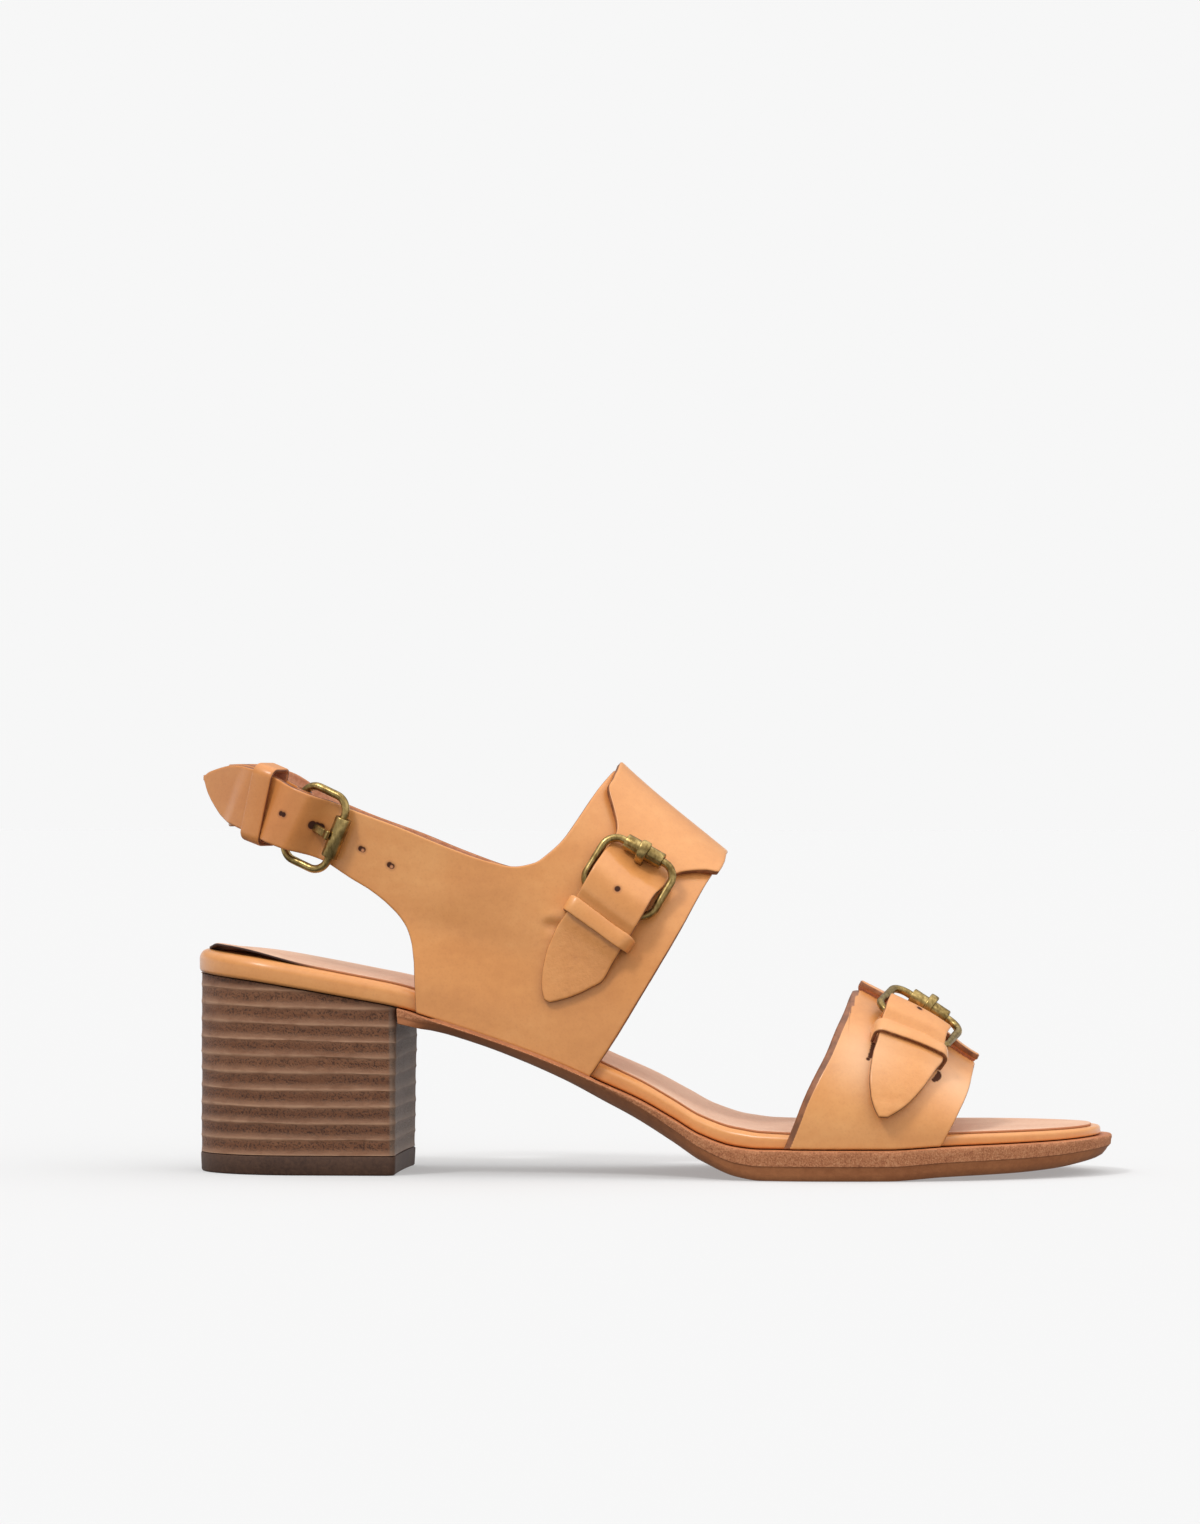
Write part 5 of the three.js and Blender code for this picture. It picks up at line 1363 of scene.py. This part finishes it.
# %% Antique brass
def antique_brass():
    f = Finish("antique_brass")
    patina, scratch = f.noise(260, 5, 0.65), f.noise(1100, 4, 0.7, f.stretched(1, 1, 0.3))
    brass_wear_and_leather_shade = (patina * 0.55 + scratch * 0.45).above(0.36, 0.70)
    tone = f.blend(brass_wear_and_leather_shade, linear(116, 94, 52), linear(206, 178, 116))
    height = patina * 0.3 + scratch * 0.4
    return f.show(base_color=tone, metallic=0.95, roughness=(0.24 + 0.18 * (1 - brass_wear_and_leather_shade)).clamp(),
                  normal=f.bump(height, 0.22, 0.0002))


FINISHES["brass"] = antique_brass()
print("Brass nodes:", len(FINISHES["brass"].node_tree.nodes))

# %% [markdown]
# Each hole goes where the punch went: in the tabs, in the sling, and the spare ones ahead of its buckle.

# %% Place the holes and give every piece its finish
def tab_top(rows, down, across=0.0):
    middle, half, lift = tab_reader(rows)
    x = SOLE_LENGTH * middle(down) + across
    return lifted(LATERAL, x, math.radians(down), float(lift(down)) + 0.2)


hole_on(tab_top(INSTEP_TAB, 53.5), 0.8)
hole_on(tab_top(TOE_TAB, 27), 0.8)


def sling_top(x, across):
    low, high = quarter_edges(np.array(float(x)))
    lift = float(sling_lift(np.array(float(x)), (low + high) / 2))
    return sling_point(float(x), across, lift)


for x in (27.2, 27.9):
    hole_on(sling_top(x, 0.5), 0.7)
for x in (34.2, 35.0, 35.8):
    hole_on(sling_top(x, 0.2), 1.2)
for x in (46.8, 54.6):
    for step in (-0.3, 0.3):
        hole_on(sling_top(x + step, 0), 0.75)
    SPARE.append(sling_top(x, 0))
# painted sheen on the outer toe band
PAINTED_SHEEN_SPOTS.extend([(np.array([180, -30, 31]), 8), (np.array([205, -26, 26]), 6)])
# painted shade on the sling's tip
PAINTED_SHADE_SPOTS.extend([(np.array([4, -20, 100]), 16), (np.array([24, -24, 96]), 12)])
for down in (52, 54.5):
    TIPS.append((tab_top(INSTEP_TAB, down + 20), 9))
TIPS.append((tab_top(TOE_TAB, 66), 9))
# the slots' ragged ends, painted dark as the shade in the cut gaps: each spot's place along the shoe, degrees
# down and size
for along, down, size in (
        (-7.8, 46.6, .6), (-7.9, 47.8, .65), (-7.9, 49, .7), (-8, 50.2, .75), (-8.1, 51.4, .7),
        (-8.3, 52.6, .75), (-8.5, 53.8, .6), (-9, 55.2, .55), (9.3, 47.4, .6), (9.4, 48.6, .75),
        (9.3, 49.8, .85), (9.1, 51, .9), (8.9, 52.2, .85), (8.6, 53.4, .8), (8.1, 54.8, .65)):
    SLOTS.append((lifted(LATERAL, SOLE_LENGTH * .778 + along, math.radians(down), 0.0), size))


FINISHES["tan_leather"] = upper_leather()
for thing in PIECES:
    thing.data.materials.clear()
    thing.data.materials.append(FINISHES[thing["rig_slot"]])
print(len(PIECES), "pieces finished")

# %% [markdown]
# The photograph is a catalogue picture: an even pale ground, a broad soft light from the upper left, a
# brighter stretch of ceiling ahead of the toe, and a level camera a little round towards the toe. The
# studio is a sky that changes with its direction, because a box of lamps would show as hard shapes in the
# brass. The floor's grey and its small glow are chosen so that, lit, it meets the wall behind.

# %% Floor, light and camera
SKY = 0.93


class Sky(Finish):
    """The studio round the shoe: a pale wall at eye level, and soft light from above, mostly ahead."""

    def __init__(self):
        self.world = bpy.data.worlds.new("studio")
        self.world.use_nodes = True
        self.tree = self.world.node_tree
        self.tree.nodes.clear()
        self.shader = self.tree.nodes.new("ShaderNodeBackground")
        output = self.tree.nodes.new("ShaderNodeOutputWorld")
        self.tree.links.new(self.shader.outputs[0], output.inputs[0])
        self.place = self.node("ShaderNodeTexCoord", {}, {}, "Generated")


sky = Sky()
up = sky.node("ShaderNodeSeparateXYZ", {}, {0: sky.place}, "Z")
wall = 1 - up.math("ABSOLUTE", 0.0).above(0.13, 0.26)
softbox = sky.node("ShaderNodeVectorMath", dict(operation="DOT_PRODUCT"), {
    0: sky.place, 1: (0.75, -0.25, 0.61)}, "Value")
ceiling = 0.24 + up * up * 1.10 + softbox.most(0.0) ** 3 * 0.95
over = up.above(-0.05, 0.05)
room = ceiling * over + (1 - over) * 0.17
sky.feed(sky.shader.inputs[0], wall * SKY + (1 - wall) * room)
bpy.context.scene.world = sky.world

SUN = 1.05
lamp = bpy.data.objects.new("key", bpy.data.lights.new("key", "SUN"))
lamp.data.energy = SUN
lamp.data.angle = math.radians(12)
to_light = Vector((-0.38, -0.50, 0.78)).normalized()
lamp.rotation_euler = to_light.to_track_quat("Z", "Y").to_euler()
bpy.context.scene.collection.objects.link(lamp)

floor_mesh = bpy.data.meshes.new("floor")
floor_mesh.from_pydata([(-9, -9, 0), (9, -9, 0), (9, 9, 0), (-9, 9, 0)], [], [(0, 1, 2, 3)])
floor = bpy.data.objects.new("floor", floor_mesh)
bpy.context.scene.collection.objects.link(floor)
ground = Finish("ground")
GLOW, LIT = 0.32, 1.304  # the floor's own light, and how bright pure white would be on it
albedo = (SKY - GLOW) / LIT
floor_mesh.materials.append(ground.show(
    base_color=(albedo, albedo, albedo, 1), roughness=1.0, specular_ior_level=0.0,
    emission_strength=GLOW, emission_color=(1, 1, 1, 1)))
floor.visible_diffuse = floor.visible_glossy = False

bpy.context.scene.view_settings.view_transform = "Standard"
# a long lens from far away, level, turned 5 degrees towards the toe
camera = bpy.data.objects.new("camera", bpy.data.cameras.new("camera"))
bpy.context.scene.collection.objects.link(camera)
camera.data.lens, camera.data.sensor_width = 158.3, 36
camera.location = (0.1424, -1.7949, 0.110)
camera.rotation_euler = (math.radians(90), 0, math.radians(5))
bpy.context.scene.camera = camera
